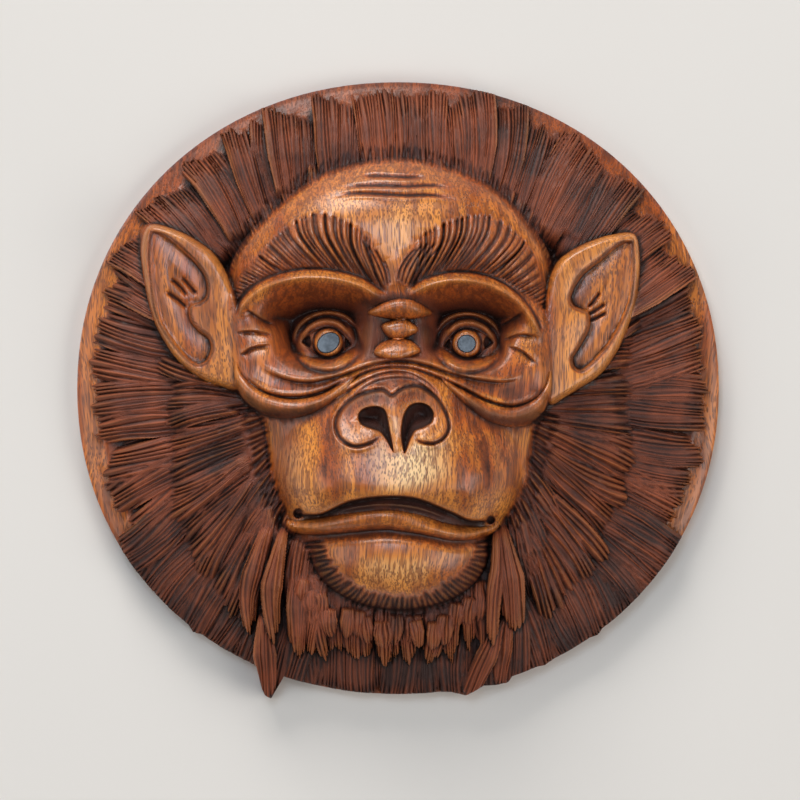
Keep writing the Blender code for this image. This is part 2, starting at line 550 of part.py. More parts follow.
def object_named(name, bm, collection, material=None):
    mesh = bpy.data.meshes.new(name)
    bm.to_mesh(mesh)
    bm.free()
    obj = bpy.data.objects.new(name, mesh)
    collection.objects.link(obj)
    if material:
        mesh.materials.append(material)
    return obj


def cylinder(length, width, thickness, lean=0.0):
    """A round or oval disc about its own middle, leaning by degrees in its plane."""
    bm = bmesh.new()
    bmesh.ops.create_cone(bm, cap_ends=True, segments=ROUND_SIDES, radius1=0.5, radius2=0.5, depth=1.0)
    bmesh.ops.scale(bm, vec=(length, width, thickness), verts=bm.verts)
    turn = np.array([[math.cos(math.radians(lean)), -math.sin(math.radians(lean)), 0.0],
                     [math.sin(math.radians(lean)), math.cos(math.radians(lean)), 0.0], [0.0, 0.0, 1.0]])
    for vert in bm.verts:
        vert.co = turn @ np.array(vert.co)
    return bm


def make_mask(parts, wood):
    """A grid bent to the disc, lifted to the carving and closed by its edge and flat back."""
    bm = bmesh.new()
    bmesh.ops.create_grid(bm, x_segments=GRID_STEPS, y_segments=GRID_STEPS, size=1.0)
    flat = np.array([vert.co[:2] for vert in bm.verts])
    places = carved_points(flat[:, 0], flat[:, 1])
    for vert, place in zip(bm.verts, places, strict=True):
        vert.co = place
    rim = [edge for edge in bm.edges if edge.is_boundary]
    walls = bmesh.ops.extrude_edge_only(bm, edges=rim)["geom"]
    for vert in (item for item in walls if isinstance(item, bmesh.types.BMVert)):
        vert.co.z = 0.0
    bmesh.ops.holes_fill(bm, edges=[edge for edge in bm.edges if edge.is_boundary], sides=0)
    bmesh.ops.recalc_face_normals(bm, faces=bm.faces)
    mask = object_named("mask", bm, parts, wood)
    thin = mask.modifiers.new("fewer faces", "DECIMATE")
    thin.ratio = MASK_TRIANGLES / (2 * GRID_STEPS ** 2 + 12 * GRID_STEPS)
    return mask


def cut(target, cutter):
    boolean = target.modifiers.new(cutter.name, "BOOLEAN")
    boolean.operation = "DIFFERENCE"
    boolean.solver = "EXACT"
    boolean.object = cutter


def make_cutter(name, bm, place, cutters):
    cutter = object_named(name, bm, cutters)
    cutter.location = place
    cutter.hide_render = True
    cutter.display_type = "WIRE"
    return cutter


def make_pupil(name, length, width, lean, eye, mask, parts, cutters, glass):
    """A pupil flush with the iris, in a pocket that clears it all round."""
    x, y = real_place(*eye)
    top = real_level(IRIS_LEVEL)
    pupil = object_named(name, cylinder(length, width, PUPIL_THICKNESS, lean), parts, glass)
    pupil.location = (x, y, top - PUPIL_THICKNESS / 2)
    rounding = pupil.modifiers.new("rounded edge", "BEVEL")
    rounding.width = PUPIL_ROUNDING
    rounding.segments = 1
    rounding.limit_method = "ANGLE"
    gap = 2 * PUPIL_CLEARANCE
    floor = top - PUPIL_THICKNESS - PUPIL_CLEARANCE
    reach = real_level(DRAWN_TOP) - floor
    pocket = cylinder(length + gap, width + gap, reach, lean)
    cut(mask, make_cutter(name + "_pocket", pocket, (x, y, floor + reach / 2), cutters))


def main():
    for obj in list(bpy.data.objects):
        bpy.data.objects.remove(obj)
    parts = collection_named("chimpanzee_mask")
    cutters = collection_named("cutters")
    wood = material_named("oiled hardwood", (0.19, 0.07, 0.03), 0.35)
    glass = material_named("grey glass", (0.18, 0.2, 0.24), 0.2)
    mask = make_mask(parts, wood)
    make_pupil("pupil_left", PUPIL_LEFT_LENGTH, PUPIL_LEFT_WIDTH, PUPIL_LEFT_LEAN, EYE_LEFT, mask, parts, cutters,
               glass)
    make_pupil("pupil_right", PUPIL_RIGHT_LENGTH, PUPIL_RIGHT_WIDTH, 0.0, EYE_RIGHT, mask, parts, cutters, glass)
    hole = cylinder(HOLE_DIAMETER, HOLE_DIAMETER, 2 * HOLE_DEPTH)
    cut(mask, make_cutter("hanging_hole", hole, (0.0, HEIGHT / 2 - HOLE_BELOW_TOP, 0.0), cutters))


main()
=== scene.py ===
"""Chimpanzee mask: its carved, stained and lacquered wood, the pupils, the floor, the light and the camera.

The face is drawn in millimetres, x and y from the middle of the back and z from the back. It is carved as
heights over a grid, which becomes one closed piece in place of the plain mask.
"""

import math
import random

import bpy
import numpy as np
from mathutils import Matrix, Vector


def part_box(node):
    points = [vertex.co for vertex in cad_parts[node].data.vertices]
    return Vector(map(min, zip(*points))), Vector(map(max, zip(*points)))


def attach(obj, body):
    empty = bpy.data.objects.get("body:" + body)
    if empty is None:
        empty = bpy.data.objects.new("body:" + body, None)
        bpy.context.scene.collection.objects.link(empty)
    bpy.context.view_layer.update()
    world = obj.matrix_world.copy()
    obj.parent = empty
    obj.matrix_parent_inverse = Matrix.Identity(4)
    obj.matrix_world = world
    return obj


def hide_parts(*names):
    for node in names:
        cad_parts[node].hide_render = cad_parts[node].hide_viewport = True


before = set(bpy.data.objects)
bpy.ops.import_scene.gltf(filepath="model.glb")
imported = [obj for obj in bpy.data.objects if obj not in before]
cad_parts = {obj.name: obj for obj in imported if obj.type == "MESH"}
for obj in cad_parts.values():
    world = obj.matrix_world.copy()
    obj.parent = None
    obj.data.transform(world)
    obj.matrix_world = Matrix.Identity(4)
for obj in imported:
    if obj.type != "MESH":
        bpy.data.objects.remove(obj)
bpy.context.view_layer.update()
bpy.ops.object.select_all(action="DESELECT")

MM = 0.001
WIDTH, HEIGHT = 320.0, 305.0
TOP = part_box("mask")[1][2] / MM
EDGE_THICKNESS = 10.0
HOLE_PLACE = (0.0, 112.5)
HOLE_DIAMETER, HOLE_DEPTH = 10.0, 12.0

# The pupils: length, width, lean in degrees and the band of the iris around each
PUPILS = {"pupil_left": (11.5, 9.0, 35.0, 1.3), "pupil_right": (8.8, 8.4, 0.0, 2.6)}
PUPIL_CLEARANCE = 0.3

# How finely the mask is carved: the grid's steps each way, the triangles kept and the sides of a round cut
GRID_STEPS = 800
MASK_TRIANGLES = 190_000
ROUND_SIDES = 64


def blend_step(low, high, value):
    """0 below low, 1 above high, smooth between."""
    share = np.clip((value - low) / (high - low), 0.0, 1.0)
    return share * share * (3.0 - 2.0 * share)


def smooth_max(a, b, blend):
    share = np.clip(0.5 + 0.5 * (a - b) / blend, 0.0, 1.0)
    return b + (a - b) * share + blend * share * (1.0 - share)


def smooth_min(a, b, blend):
    return -smooth_max(-a, -b, blend)


def fading(along, ends):
    """0 at both ends of a line and 1 between them."""
    return blend_step(0.0, ends, along) * blend_step(0.0, ends, 1.0 - along) if ends else 1.0


def easing(distance, soft):
    """1 at no distance, falling away over a soft width and gone at three of them."""
    return np.exp(-distance / soft) * np.clip(1.0 - distance / (3.0 * soft), 0.0, 1.0)


def curve_through(points, closed=False, steps=8):
    """A smooth (Catmull-Rom) line through a few chosen points."""
    points = np.asarray(points, float)
    if closed:
        guide = np.vstack([points[-1], points, points[:2]])
    else:
        guide = np.vstack([2 * points[0] - points[1], points, 2 * points[-1] - points[-2]])
    share = np.arange(steps)[:, None] / steps
    pieces = []
    for a, b, c, d in zip(guide, guide[1:], guide[2:], guide[3:], strict=False):
        bend = (2 * a - 5 * b + 4 * c - d) * share ** 2 + (3 * b - a - 3 * c + d) * share ** 3
        pieces.append(0.5 * (2 * b + (c - a) * share + bend))
    line = np.vstack(pieces)
    return line if closed else np.vstack([line, points[-1:]])


def spaced(line, gap):
    """Points a gap apart along a line."""
    lengths = np.concatenate([[0.0], np.cumsum(np.hypot(*np.diff(line, axis=0).T))])
    count = max(2, round(lengths[-1] / gap))
    at = (np.arange(count) + 0.5) * lengths[-1] / count
    return np.stack([np.interp(at, lengths, line[:, k]) for k in (0, 1)], axis=1)


def turned(way, degrees):
    c, s = math.cos(math.radians(degrees)), math.sin(math.radians(degrees))
    return np.array([way[0] * c - way[1] * s, way[0] * s + way[1] * c])


def pointing(degrees):
    return turned(np.array([1.0, 0.0]), degrees)


def circle(centre, radius, count=12):
    turns = np.linspace(0, 2 * math.pi, count, endpoint=False)
    return np.stack([centre[0] + radius * np.cos(turns), centre[1] + radius * np.sin(turns)], axis=1)


def mirrored(points):
    return [(-px, py) for px, py in points]


def lifted(points, up):
    return [(px, py + up) for px, py in points]


def scaled(points, share):
    return [(share * px, share * py) for px, py in points]


def shifted(points, distance):
    """A line moved a distance to its left."""
    along = np.gradient(np.asarray(points, float), axis=0)
    return points + distance * np.stack([-along[:, 1], along[:, 0]], axis=1) / np.hypot(*along.T)[:, None]


def scatter(number, shift):
    """A fixed mixed-up value from 0 to 1 for each whole number."""
    return np.modf(np.abs(np.sin(number * 12.9898 + shift * 78.233)) * 437.585)[0]


# How the relief's tools cut: the half width of the stain and painted shade in a crease, the tone left in
# every cut as stain and painted shade, how steeply a mass falls away outside its radii or its outline, and
# how an apron of hair ends
STAIN_AND_SHADE_LINE, DARK_TONE = 0.8, 0.0
DOME_FALL, OUTLINE_FALL, OUTLINE_REACH = 30.0, 5.0, 12.0
APRON_FALL, APRON_ENDS, APRON_BLEND, APRON_TONE = 12.0, 0.12, 1.0, 0.4

# How every lock of hair is cut: how softly it joins what it lies on, how ragged and how round the ends of its
# strands are, how far its root sinks and over what share of it, and the gap between its fine strokes
LOCK_BLEND = 0.8
TIP_RAGGED, TIP_ROUND = 0.06, 0.035
ROOT_SINK, ROOT_SHARE = 12.0, 0.22
FINE_STROKE = 1.35

# How the tone of a lock varies: at random from strand to strand, then a painted highlight on the crest and
# painted shade in the cut, and painted light and shade by the way that it is turned
STRAND_TONE, CREST_HIGHLIGHT, CUT_SHADE, TURNED_LIGHT_AND_SHADE = 0.24, 0.3, 0.5, 0.2

# Where along a lock its widths and heights are given
ROOT_MIDDLE_TIP = (0.0, 0.5, 1.0)


class Relief:
    """Points of the face: height, how dark it is stained and painted with shade, own tone and count of
    strokes.
    """

    def __init__(self, x, y):
        self.x, self.y = x, y
        self.z = np.zeros_like(x)
        self.stain_and_shade = np.ones_like(x)
        self.tone = np.full_like(x, 0.5)
        self.strokes = np.zeros_like(x)

    def near(self, line, reach):
        low, high = line.min(0) - reach, line.max(0) + reach
        across = (self.x > low[0]) & (self.x < high[0])
        return np.flatnonzero(across & (self.y > low[1]) & (self.y < high[1]))

    def beside(self, line, reach):
        """Points near a line: their index, distance, share of its length, and which side (+1 left)."""
        chosen = self.near(line, reach)
        px, py = self.x[chosen], self.y[chosen]
        lengths = np.hypot(*np.diff(line, axis=0).T)
        starts = np.concatenate([[0.0], np.cumsum(lengths)])
        best = np.full(chosen.shape, 1e9)
        along = np.zeros_like(best)
        side = np.ones_like(best)
        for (ax, ay), (bx, by), length, start in zip(line, line[1:], lengths, starts, strict=False):
            if length < 1e-6:
                continue
            ux, uy = (bx - ax) / length, (by - ay) / length
            t = np.clip((px - ax) * ux + (py - ay) * uy, 0.0, length)
            distance = np.hypot(px - ax - t * ux, py - ay - t * uy)
            closer = distance < best
            best = np.where(closer, distance, best)
            along = np.where(closer, (start + t) / starts[-1], along)
            side = np.where(closer, np.sign(ux * (py - ay) - uy * (px - ax)), side)
        return chosen, best, along, side

    def inside(self, outline, reach=1.0):
        """Points near a smooth closed outline with their signed distance, positive inside."""
        line = curve_through(outline, closed=True, steps=5)
        loop = np.vstack([line, line[:1]])
        chosen, distance, _, _ = self.beside(loop, reach)
        px, py = self.x[chosen], self.y[chosen]
        within = np.zeros(chosen.shape, bool)
        for (ax, ay), (bx, by) in zip(loop, loop[1:], strict=False):
            if ay != by:
                crosses = (ay > py) != (by > py)
                within ^= crosses & (px < (bx - ax) * (py - ay) / (by - ay) + ax)
        return chosen, np.where(within, distance, -distance)

    def dome(self, centre, radii, base, top, power, blend):
        """Joins on a rounded mass standing from base to top, falling away steeply outside its radii."""
        r = np.hypot((self.x - centre[0]) / radii[0], (self.y - centre[1]) / radii[1])
        crown = np.sqrt(np.clip(1.0 - r ** power, 0.0, 1.0))
        mass = base + (top - base) * crown - DOME_FALL * np.clip(r - 1.0, 0.0, 3.0)
        self.z = smooth_max(self.z, mass, blend)

    def inflate(self, outline, base, top, soft, blend, power):
        """Joins on a mass that rises from base at an outline to top, rounding over a soft width."""
        chosen, distance = self.inside(outline, OUTLINE_REACH)
        share = np.clip(distance / soft, 0.0, 1.0)
        rise = (1.0 - (1.0 - share) ** power) ** (1.0 / power)
        mass = base + (top[chosen] - base) * rise + OUTLINE_FALL * np.minimum(distance, 0.0)
        self.z[chosen] = smooth_max(self.z[chosen], mass, blend)

    def ease(self, outline, top, soft, power=0.7):
        """Brings the surface to a new height inside an outline, with no edge where it starts."""
        chosen, distance = self.inside(outline)
        self.z[chosen] += (top[chosen] - self.z[chosen]) * blend_step(0.0, soft, distance) ** power

    def hollow(self, outline, depth, soft):
        """Sinks the inside of an outline, sloping down over a soft width from its edge."""
        chosen, distance = self.inside(outline)
        deep = depth if np.isscalar(depth) else depth[chosen]
        self.z[chosen] -= deep * blend_step(0.0, soft, distance)

    def swell(self, outline, height, soft, power=0.6):
        """Raises the inside of an outline as a rounded pad."""
        chosen, distance = self.inside(outline)
        share = np.clip(distance / soft, 0.0, 1.0)
        self.z[chosen] += height * (1.0 - (1.0 - share) ** 2) ** power

    def groove(self, points, depth, width, ends=0.15, stain_and_shade=0.0):
        """A cut along a line, fading at its ends, darkened in it by staining and painted shade."""
        chosen, distance, along, _ = self.beside(curve_through(points), 3.0 * width)
        cut = np.exp(-(distance / width) ** 2) * fading(along, ends)
        self.z[chosen] -= depth * cut
        self.stain_and_shade[chosen] += (1.0 - self.stain_and_shade[chosen]) * stain_and_shade * cut
        self.tone[chosen] += (DARK_TONE - self.tone[chosen]) * stain_and_shade * cut

    def ridge(self, points, height, width, ends=0.15):
        self.groove(points, -height, width, ends)

    def shade(self, points, width, stain_and_shade, ends=0.2):
        """Staining along a line with no cut; in folds and under edges it is painted shade."""
        self.groove(points, 0.0, width, ends, stain_and_shade)

    def fold(self, points, up, up_soft, down, down_soft, sharp=0.8, ends=0.16, stain_and_shade=0.7):
        """A crease: proud on the left of the line and sunk on its right, easing back over each soft width."""
        chosen, distance, along, side = self.beside(curve_through(points), 3.0 * max(up_soft, down_soft))
        over = blend_step(-sharp, sharp, side * distance)
        lift = up * easing(distance, up_soft) * over
        sink = down * easing(distance, down_soft) * (1.0 - over)
        self.z[chosen] += (lift - sink) * fading(along, ends)
        line = np.exp(-(distance / STAIN_AND_SHADE_LINE) ** 2) * fading(along, ends)
        self.stain_and_shade[chosen] += (1.0 - self.stain_and_shade[chosen]) * stain_and_shade * line
        self.tone[chosen] += (DARK_TONE - self.tone[chosen]) * stain_and_shade * line

    def apron(self, points, height, fall, reach):
        """Joins on a slope of hair that falls away on both sides of a line."""
        chosen, distance, along, _ = self.beside(curve_through(points), reach)
        slope = height - fall * distance
        slope = slope - APRON_FALL * (1.0 - fading(along, APRON_ENDS)) - APRON_FALL * (distance > reach)
        lower = slope > self.z[chosen]
        self.z[chosen] = smooth_max(self.z[chosen], slope, APRON_BLEND)
        taken = chosen[lower]
        self.stain_and_shade[taken], self.tone[taken], self.strokes[taken] = 1.0, APRON_TONE, 0.0

    def paint(self, outline, value, soft, tone=0.5):
        """Stains the inside of an outline, softly across its edge."""
        chosen, distance = self.inside(outline, soft)
        share = blend_step(-soft / 2, soft / 2, distance)
        self.stain_and_shade[chosen] += (value - self.stain_and_shade[chosen]) * share
        self.tone[chosen] += (tone - self.tone[chosen]) * share

    # Paints a recess black: painted shade for the dark of a deep cut
    def paint_black_shade(self, outline, soft):
        self.paint(outline, 1.0, soft, DARK_TONE)

    def lock(self, path, widths, heights, seed, strand, depth, narrow, crown, tilt, blunt, lean, drop, tone,
             tip_share=0.1):
        """A lock of hair along a path, cut into strands: widths and heights at its root, middle and tip."""
        chosen, distance, along, side = self.beside(curve_through(path, steps=5), max(widths) / 2)
        across = side * distance / (np.interp(along, ROOT_MIDDLE_TIP, widths) / 2)
        chance = random.Random(seed)
        point, shift = lean + chance.uniform(-0.25, 0.25), chance.uniform(1.0, 2.0)

        # Strands, a little uneven in width and waving along the lock
        lane = across * max(widths) / strand / 2
        wander = 0.24 * np.sin(1.1 * lane + 5.0 * along + 6.0 * shift)
        lane += 0.15 * np.sin(1.7 * lane + 9.0 * shift) + wander
        cell, cut_number = np.floor(lane), np.floor(lane + 0.5)
        uneven = scatter(cell, shift)
        deep, late = scatter(cut_number, shift + 1.0), scatter(cut_number, shift + 2.0)

        # Each cut between two strands has its own depth and starts at its own place
        from_crest = 2.0 * np.abs(lane - cell - 0.5)
        crest = 1.0 - from_crest ** narrow
        cut = from_crest ** narrow * (0.3 + 0.7 * deep) * blend_step(-0.15, 0.15, along - 0.4 * late)

        # The lock ends at a slanted point with a ragged edge
        end = 1.0 - blunt * np.abs(across - point) ** 1.3 - TIP_RAGGED * uneven - TIP_ROUND * from_crest ** 2
        within = (np.abs(across) < 1.0) & (along > 0.0) & (along < end)
        tip = np.clip((along - end + tip_share) / tip_share, 0.0, 1.0)
        root = np.clip(1.0 - along / ROOT_SHARE, 0.0, 1.0)

        top = np.interp(along, ROOT_MIDDLE_TIP, heights) - crown * np.abs(across) ** 2.2
        top += tilt * lean * across
        top += depth * ((uneven - 0.5) * crest - 1.4 * cut) - drop * tip ** 2 - ROOT_SINK * root ** 2
        top[~within] = -100.0
        before = self.z[chosen]
        self.z[chosen] = smooth_max(before, top, LOCK_BLEND)
        won = top > before
        taken = chosen[won]
        # A painted highlight on each crest, painted shade in each cut and on the lower side of a turned lock
        shade = tone + STRAND_TONE * (uneven - 0.5) + CREST_HIGHLIGHT * crest - CUT_SHADE * cut
        shade += TURNED_LIGHT_AND_SHADE * lean * across
        self.stain_and_shade[taken] = 1.0
        self.tone[taken] = shade[won]
        self.strokes[taken] = (lane * strand / FINE_STROKE)[won]


# The disc: a squarish oval, with the tips of the locks that run past its lower edge as (degrees, how far),
# how fast these fade inwards, and how far the surface rises inside the rim over what width
RIM_POWER = 2.07
RIM_TIPS = ((-131.5, 0), (-130, 1.6), (-128.5, 0), (-117, 0), (-115.8, 4), (-114.5, 9), (-113.4, 12.1),
            (-112.2, 12.7), (-111.6, 0), (-82, 0), (-80, 0.8), (-77.6, 3.7), (-75.5, 2), (-74, 0.6),
            (-71.5, 2), (-69.5, 2.4), (-68.4, 0), (-63.5, 0), (-62, 1), (-60, 0), (-52.5, 0), (-51, 1.2),
            (-49.5, 0))
TIP_FADE = 14
RIM_RISE, RIM_SOFT = 6.0, 13.0

# Stain on the disc: a little on the rim, more towards its top and its foot, and nearly all of it under the
# hair. Each pair is where it starts and where it is full, up, down or in from the edge
RIM_STAIN, ENDS_STAIN, COVERED_STAIN = 0.25, 0.45, 0.9
TOP_END, FOOT_END, COVERED = (60.0, 120.0), (75.0, 105.0), (8.0, 14.0)


def rim_radius(turn, share=1.0):
    """From the middle to the rim at each angle, or to a point a share of the way there, over that share."""
    c = np.abs(np.cos(turn)) / (WIDTH / 2)
    s = np.abs(np.sin(turn)) / (HEIGHT / 2)
    angles, lengths = np.transpose(RIM_TIPS)
    tips = np.interp(np.degrees(turn), angles, lengths) * share ** TIP_FADE
    return (c ** RIM_POWER + s ** RIM_POWER) ** (-1 / RIM_POWER) + tips


def rim_line(inset, start, end, count=16):
    """Points inside the rim from one angle to another, in degrees."""
    turns = np.radians(np.linspace(start, end, count))
    radius = rim_radius(np.arctan2(np.sin(turns), np.cos(turns))) - inset
    return np.stack([radius * np.cos(turns), radius * np.sin(turns)], axis=1)


def carve_disc(relief):
    edge = rim_radius(np.arctan2(relief.y, relief.x)) - np.hypot(relief.x, relief.y)
    relief.z = EDGE_THICKNESS + RIM_RISE * blend_step(0.0, RIM_SOFT, edge)
    ends = blend_step(*TOP_END, relief.y) + blend_step(*FOOT_END, -relief.y)
    covered = COVERED_STAIN * blend_step(*COVERED, edge)
    relief.stain_and_shade[:] = np.maximum(RIM_STAIN + ENDS_STAIN * ends, covered)


# The hair: rows of locks running out from a short line across the middle of the face, over a low dome. Then
# lines that the tips of some rows follow, and the share of the way out at which an inner row follows them
CORE_REACH, CORE_HEIGHT = 35.0, -6.0
HAIR_CENTRE, HAIR_RADII, HAIR_BASE, HAIR_TOP = (0, -8), (128, 130), 13.0, 34.0
LEFT_FALL = [(-121, 24), (-119, -15), (-117, -55), (-108, -82), (-94, -103), (-78, -121)]
RIGHT_FALL = [(119, 45), (119, 10), (117, -48), (108, -68), (103, -88), (88, -102), (76, -119)]
LEFT_JAW = [(-88, -76), (-78, -96), (-64, -112), (-46, -122)]
BEARD_BACK = [(-54, -127), (-30, -132), (0, -133), (25, -130), (46, -126)]
BEARD_FRONT = [(-54, -131), (-30, -136), (-8, -138), (25, -134), (46, -130)]
BEARD_TOP = [(-52, -109), (-34, -121), (-16, -128), (2, -130), (22, -127), (38, -117), (45, -107)]
CROWN_LOCKS = [(-74, 88), (-60, 99), (-45, 108), (-28, 115), (0, 118), (28, 115), (46, 107), (61, 96),
               (73, 85)]
INNER_FALL_SHARE = 0.97

# Where the tufts over the crown reach the rim, in degrees, and how far inside it
TOP_TUFTS = (152, 141, 130, 119.5, 111, 101, 93, 85.5, 78, 70.5, 61.5, 52, 43, 33.5, 25)
TUFT_INSET = 1.5

# Kinds of lock: its widths as shares, the width of a strand, how deep the strands are cut and how their
# crests narrow, how round and how tilted the lock is across, how pointed its end is and towards which side,
# and how far the surface drops over which last share of it
TOP_LOCK = {"shares": (0.6, 0.9, 1.0), "strand": 1.7, "depth": 0.6, "narrow": 1.3, "crown": 1.4,
            "tilt": 2.0, "blunt": 0.07, "lean": 0.9, "drop": 6.0, "tip_share": 0.22}
SIDE_LOCK = {"shares": (0.6, 1.0, 0.95), "strand": 2.6, "depth": 1.0, "narrow": 1.6, "crown": 2.2,
             "tilt": 1.2, "blunt": 0.045, "lean": 0.3, "drop": 5.0, "tip_share": 0.2}
LOW_LOCK = {"shares": (0.8, 1.0, 0.9), "strand": 2.1, "depth": 0.65, "narrow": 1.3, "crown": 1.2,
            "tilt": 1.5, "blunt": 0.05, "lean": 0.5, "drop": 2.5, "tip_share": 0.15}
FALL_LOCK = {"shares": (0.45, 0.8, 1.0), "strand": 2.7, "depth": 1.15, "narrow": 1.2, "crown": 1.8,
             "tilt": 1.0, "blunt": 0.05, "lean": 0.3, "drop": 6.0, "tip_share": 0.24}
RIDGED_LOCK = {"shares": (0.5, 0.85, 1.0), "strand": 3.0, "depth": 1.5, "narrow": 0.7, "crown": 1.2,
               "tilt": 1.0, "blunt": 0.05, "lean": 0.3, "drop": 5.0, "tip_share": 0.2}
BEARD_LOCK = {"shares": (0.8, 1.0, 0.6), "strand": 2.0, "depth": 0.9, "narrow": 1.3, "crown": 1.6,
              "tilt": 1.0, "blunt": 0.13, "lean": 0.3, "drop": 4.0, "tip_share": 0.25}
MOUTH_LOCK = {"strand": 2.2, "depth": 1.2, "narrow": 1.3, "crown": 2.5, "tilt": 0.0,
              "blunt": 0.1, "lean": 0.0, "drop": 1.5, "tone": 0.8}

# How far the locks of a row differ: shares of the gap, the length, the width and the bow, then lift and tone
ASIDE, LENGTHS, WIDTHS, BOWED, LIFTED, TONED = 0.2, (0.94, 1.06), (0.85, 1.2), 0.05, 0.8, 0.12

# How much of its kind's lean a lock takes: most by their place across the face, within a range, and the
# others a fixed share
LEAN_REACH, LEAN_RANGE, LEAN_SHARE, OTHER_LEAN = 40.0, (-0.6, 1.0), 0.85, 0.3


def outward(point):
    """Which way the hair runs at a point."""
    near = np.array([min(max(point[0], -CORE_REACH), CORE_REACH), CORE_HEIGHT])
    way = np.asarray(point, float) - near
    return way / np.hypot(*way)


def tier(relief, tips, gap, width, length, heights, seed, kind, swing=6.0, ragged=2.5, tone=0.45):
    """A row of locks in a mixed order, whose tips follow a line, or stand at its points if it has no gap."""
    chance = random.Random(seed)
    spots = spaced(curve_through(tips, steps=12), gap) if gap else tips
    order = list(range(len(spots)))
    chance.shuffle(order)
    for k in order:
        shape = {name: value for name, value in kind.items() if name != "shares"}
        outer = np.clip(-spots[k][0] / LEAN_REACH, *LEAN_RANGE)
        shape["lean"] *= outer if chance.random() < LEAN_SHARE else OTHER_LEAN
        way = turned(outward(spots[k]), chance.uniform(-swing, swing))
        across = turned(way, 90.0)
        further = way * chance.uniform(-ragged, ragged)
        tip = spots[k] + further + across * chance.uniform(-ASIDE, ASIDE) * (gap or 0.0)
        reach = length * chance.uniform(*LENGTHS)
        bow = across * chance.uniform(-BOWED, BOWED) * length
        root = tip - way * reach
        lift = chance.uniform(-LIFTED, LIFTED)
        wide = width * chance.uniform(*WIDTHS)
        path = [root, root + way * reach * 0.35 + bow, root + way * reach * 0.7 + bow, tip]
        relief.lock(path, [share * wide for share in kind["shares"]], [height + lift for height in heights],
                    seed * 100 + k, tone=tone + 0.1 * lift + chance.uniform(-TONED, TONED), **shape)


# The rows of locks, from the rim inwards: the line of their tips, the gap, width and length of the locks,
# their heights at root, middle and tip, the seed of their draws, their kind, and what in the row is its own
HAIR_ROWS = (
    (rim_line(8.5, 20, 160), 11, 20, 50, (34, 28, 18), 11, TOP_LOCK, {"tone": 0.35}),
    (rim_line(9, 160, 215, 8), 12, 17, 64, (25, 22, 18), 12, SIDE_LOCK, {}),
    (rim_line(9, -35, 20, 8), 12, 17, 64, (25, 22, 18), 13, LOW_LOCK, {}),
    (rim_line(0, 215, 325), 11, 17, 46, (25, 22, 15), 14, LOW_LOCK, {"tone": 0.19}),
    ([rim_line(TUFT_INSET, turn, turn, 1)[0] for turn in TOP_TUFTS], None, 28, 57, (36, 30, 18.5), 1,
     TOP_LOCK, {"swing": 3.0, "ragged": 1.0}),
    (rim_line(5, 158, 212, 10), 19, 18.5, 64, (28, 26, 20.5), 2, SIDE_LOCK, {"ragged": 1.5}),
    (rim_line(5, -32, 22, 10), 17, 20, 64, (27, 25, 19.5), 3, LOW_LOCK, {"ragged": 1.5}),
    (rim_line(-4, 210, 332, 24), 15, 19, 52, (27, 24, 14.5), 4, LOW_LOCK, {"ragged": 1.0, "tone": 0.17}),
    (scaled(LEFT_FALL, INNER_FALL_SHARE), 10, 15, 52, (36, 33, 28), 25, FALL_LOCK,
     {"swing": 4.0, "ragged": 1.0}),
    (LEFT_FALL, 12, 14, 56, (38, 35, 30), 5, FALL_LOCK, {"swing": 4.0, "ragged": 1.5, "tone": 0.32}),
    (scaled(RIGHT_FALL, INNER_FALL_SHARE), 10, 15, 52, (36, 33, 28), 26, RIDGED_LOCK,
     {"swing": 4.0, "ragged": 1.0}),
    (RIGHT_FALL, 12, 14, 56, (38, 35, 30), 6, RIDGED_LOCK, {"swing": 4.0, "ragged": 1.5, "tone": 0.5}),
    (LEFT_JAW, 9.5, 14, 54, (42, 38, 26), 39, BEARD_LOCK, {"swing": 7.0, "ragged": 4.0, "tone": 0.32}),
    (mirrored(LEFT_JAW), 9.5, 14, 54, (42, 38, 26), 41, BEARD_LOCK,
     {"swing": 7.0, "ragged": 4.0, "tone": 0.32}),
    (BEARD_BACK, 7.5, 12, 52, (38, 37.5, 30), 27, BEARD_LOCK, {"swing": 7.0, "ragged": 5.0, "tone": 0.6}),
    (BEARD_FRONT, 7.0, 11, 54, (39, 38.5, 31), 7, BEARD_LOCK, {"swing": 7.0, "ragged": 5.0, "tone": 0.7}),
    (BEARD_TOP, 6.5, 8.5, 18, (40, 40, 36.5), 9, BEARD_LOCK, {"swing": 8.0, "ragged": 3.0, "tone": 0.8}),
    (CROWN_LOCKS, 6.5, 8, 26, (37, 35.5, 31.5), 8, TOP_LOCK, {"swing": 7.0, "ragged": 3.0}),
)


def carve_hair(relief):
    relief.dome(HAIR_CENTRE, HAIR_RADII, HAIR_BASE, HAIR_TOP, power=2.4, blend=4.0)
    for tips, gap, width, length, heights, seed, kind, changes in HAIR_ROWS:
        tier(relief, tips, gap, width, length, heights, seed, kind, **changes)


# The long locks below the corners of the mouth: path, widths, heights and seed
MOUTH_LOCKS = (
    ([(-56, -68), (-60, -86), (-63, -104), (-61, -128)], (4, 11, 6), (46, 44, 34), 31),
    ([(-62, -62), (-69, -84), (-74, -104), (-73, -124)], (5, 12, 6), (42, 39, 29), 32),
    ([(-66, -108), (-66.5, -128), (-65.5, -142), (-65, -158)], (5, 12, 7), (35, 28, 16), 33),
    ([(51, -66), (54, -84), (56.5, -100), (58, -122)], (4, 14, 10), (48, 46, 34), 34),
    ([(49, -68), (49, -88), (47.5, -104), (46.5, -130)], (4, 8, 5), (50, 46, 36), 35),
    ([(50, -110), (46, -128), (40, -142), (34, -156)], (6, 11, 8), (36, 29, 15), 36),
    ([(54, -110), (52, -126), (50, -138), (49, -149)], (6, 11, 10), (36, 27, 15), 37),
)


def carve_mouth_locks(relief):
    for path, widths, heights, seed in MOUTH_LOCKS:
        relief.lock(path, widths, heights, seed, **MOUTH_LOCK)


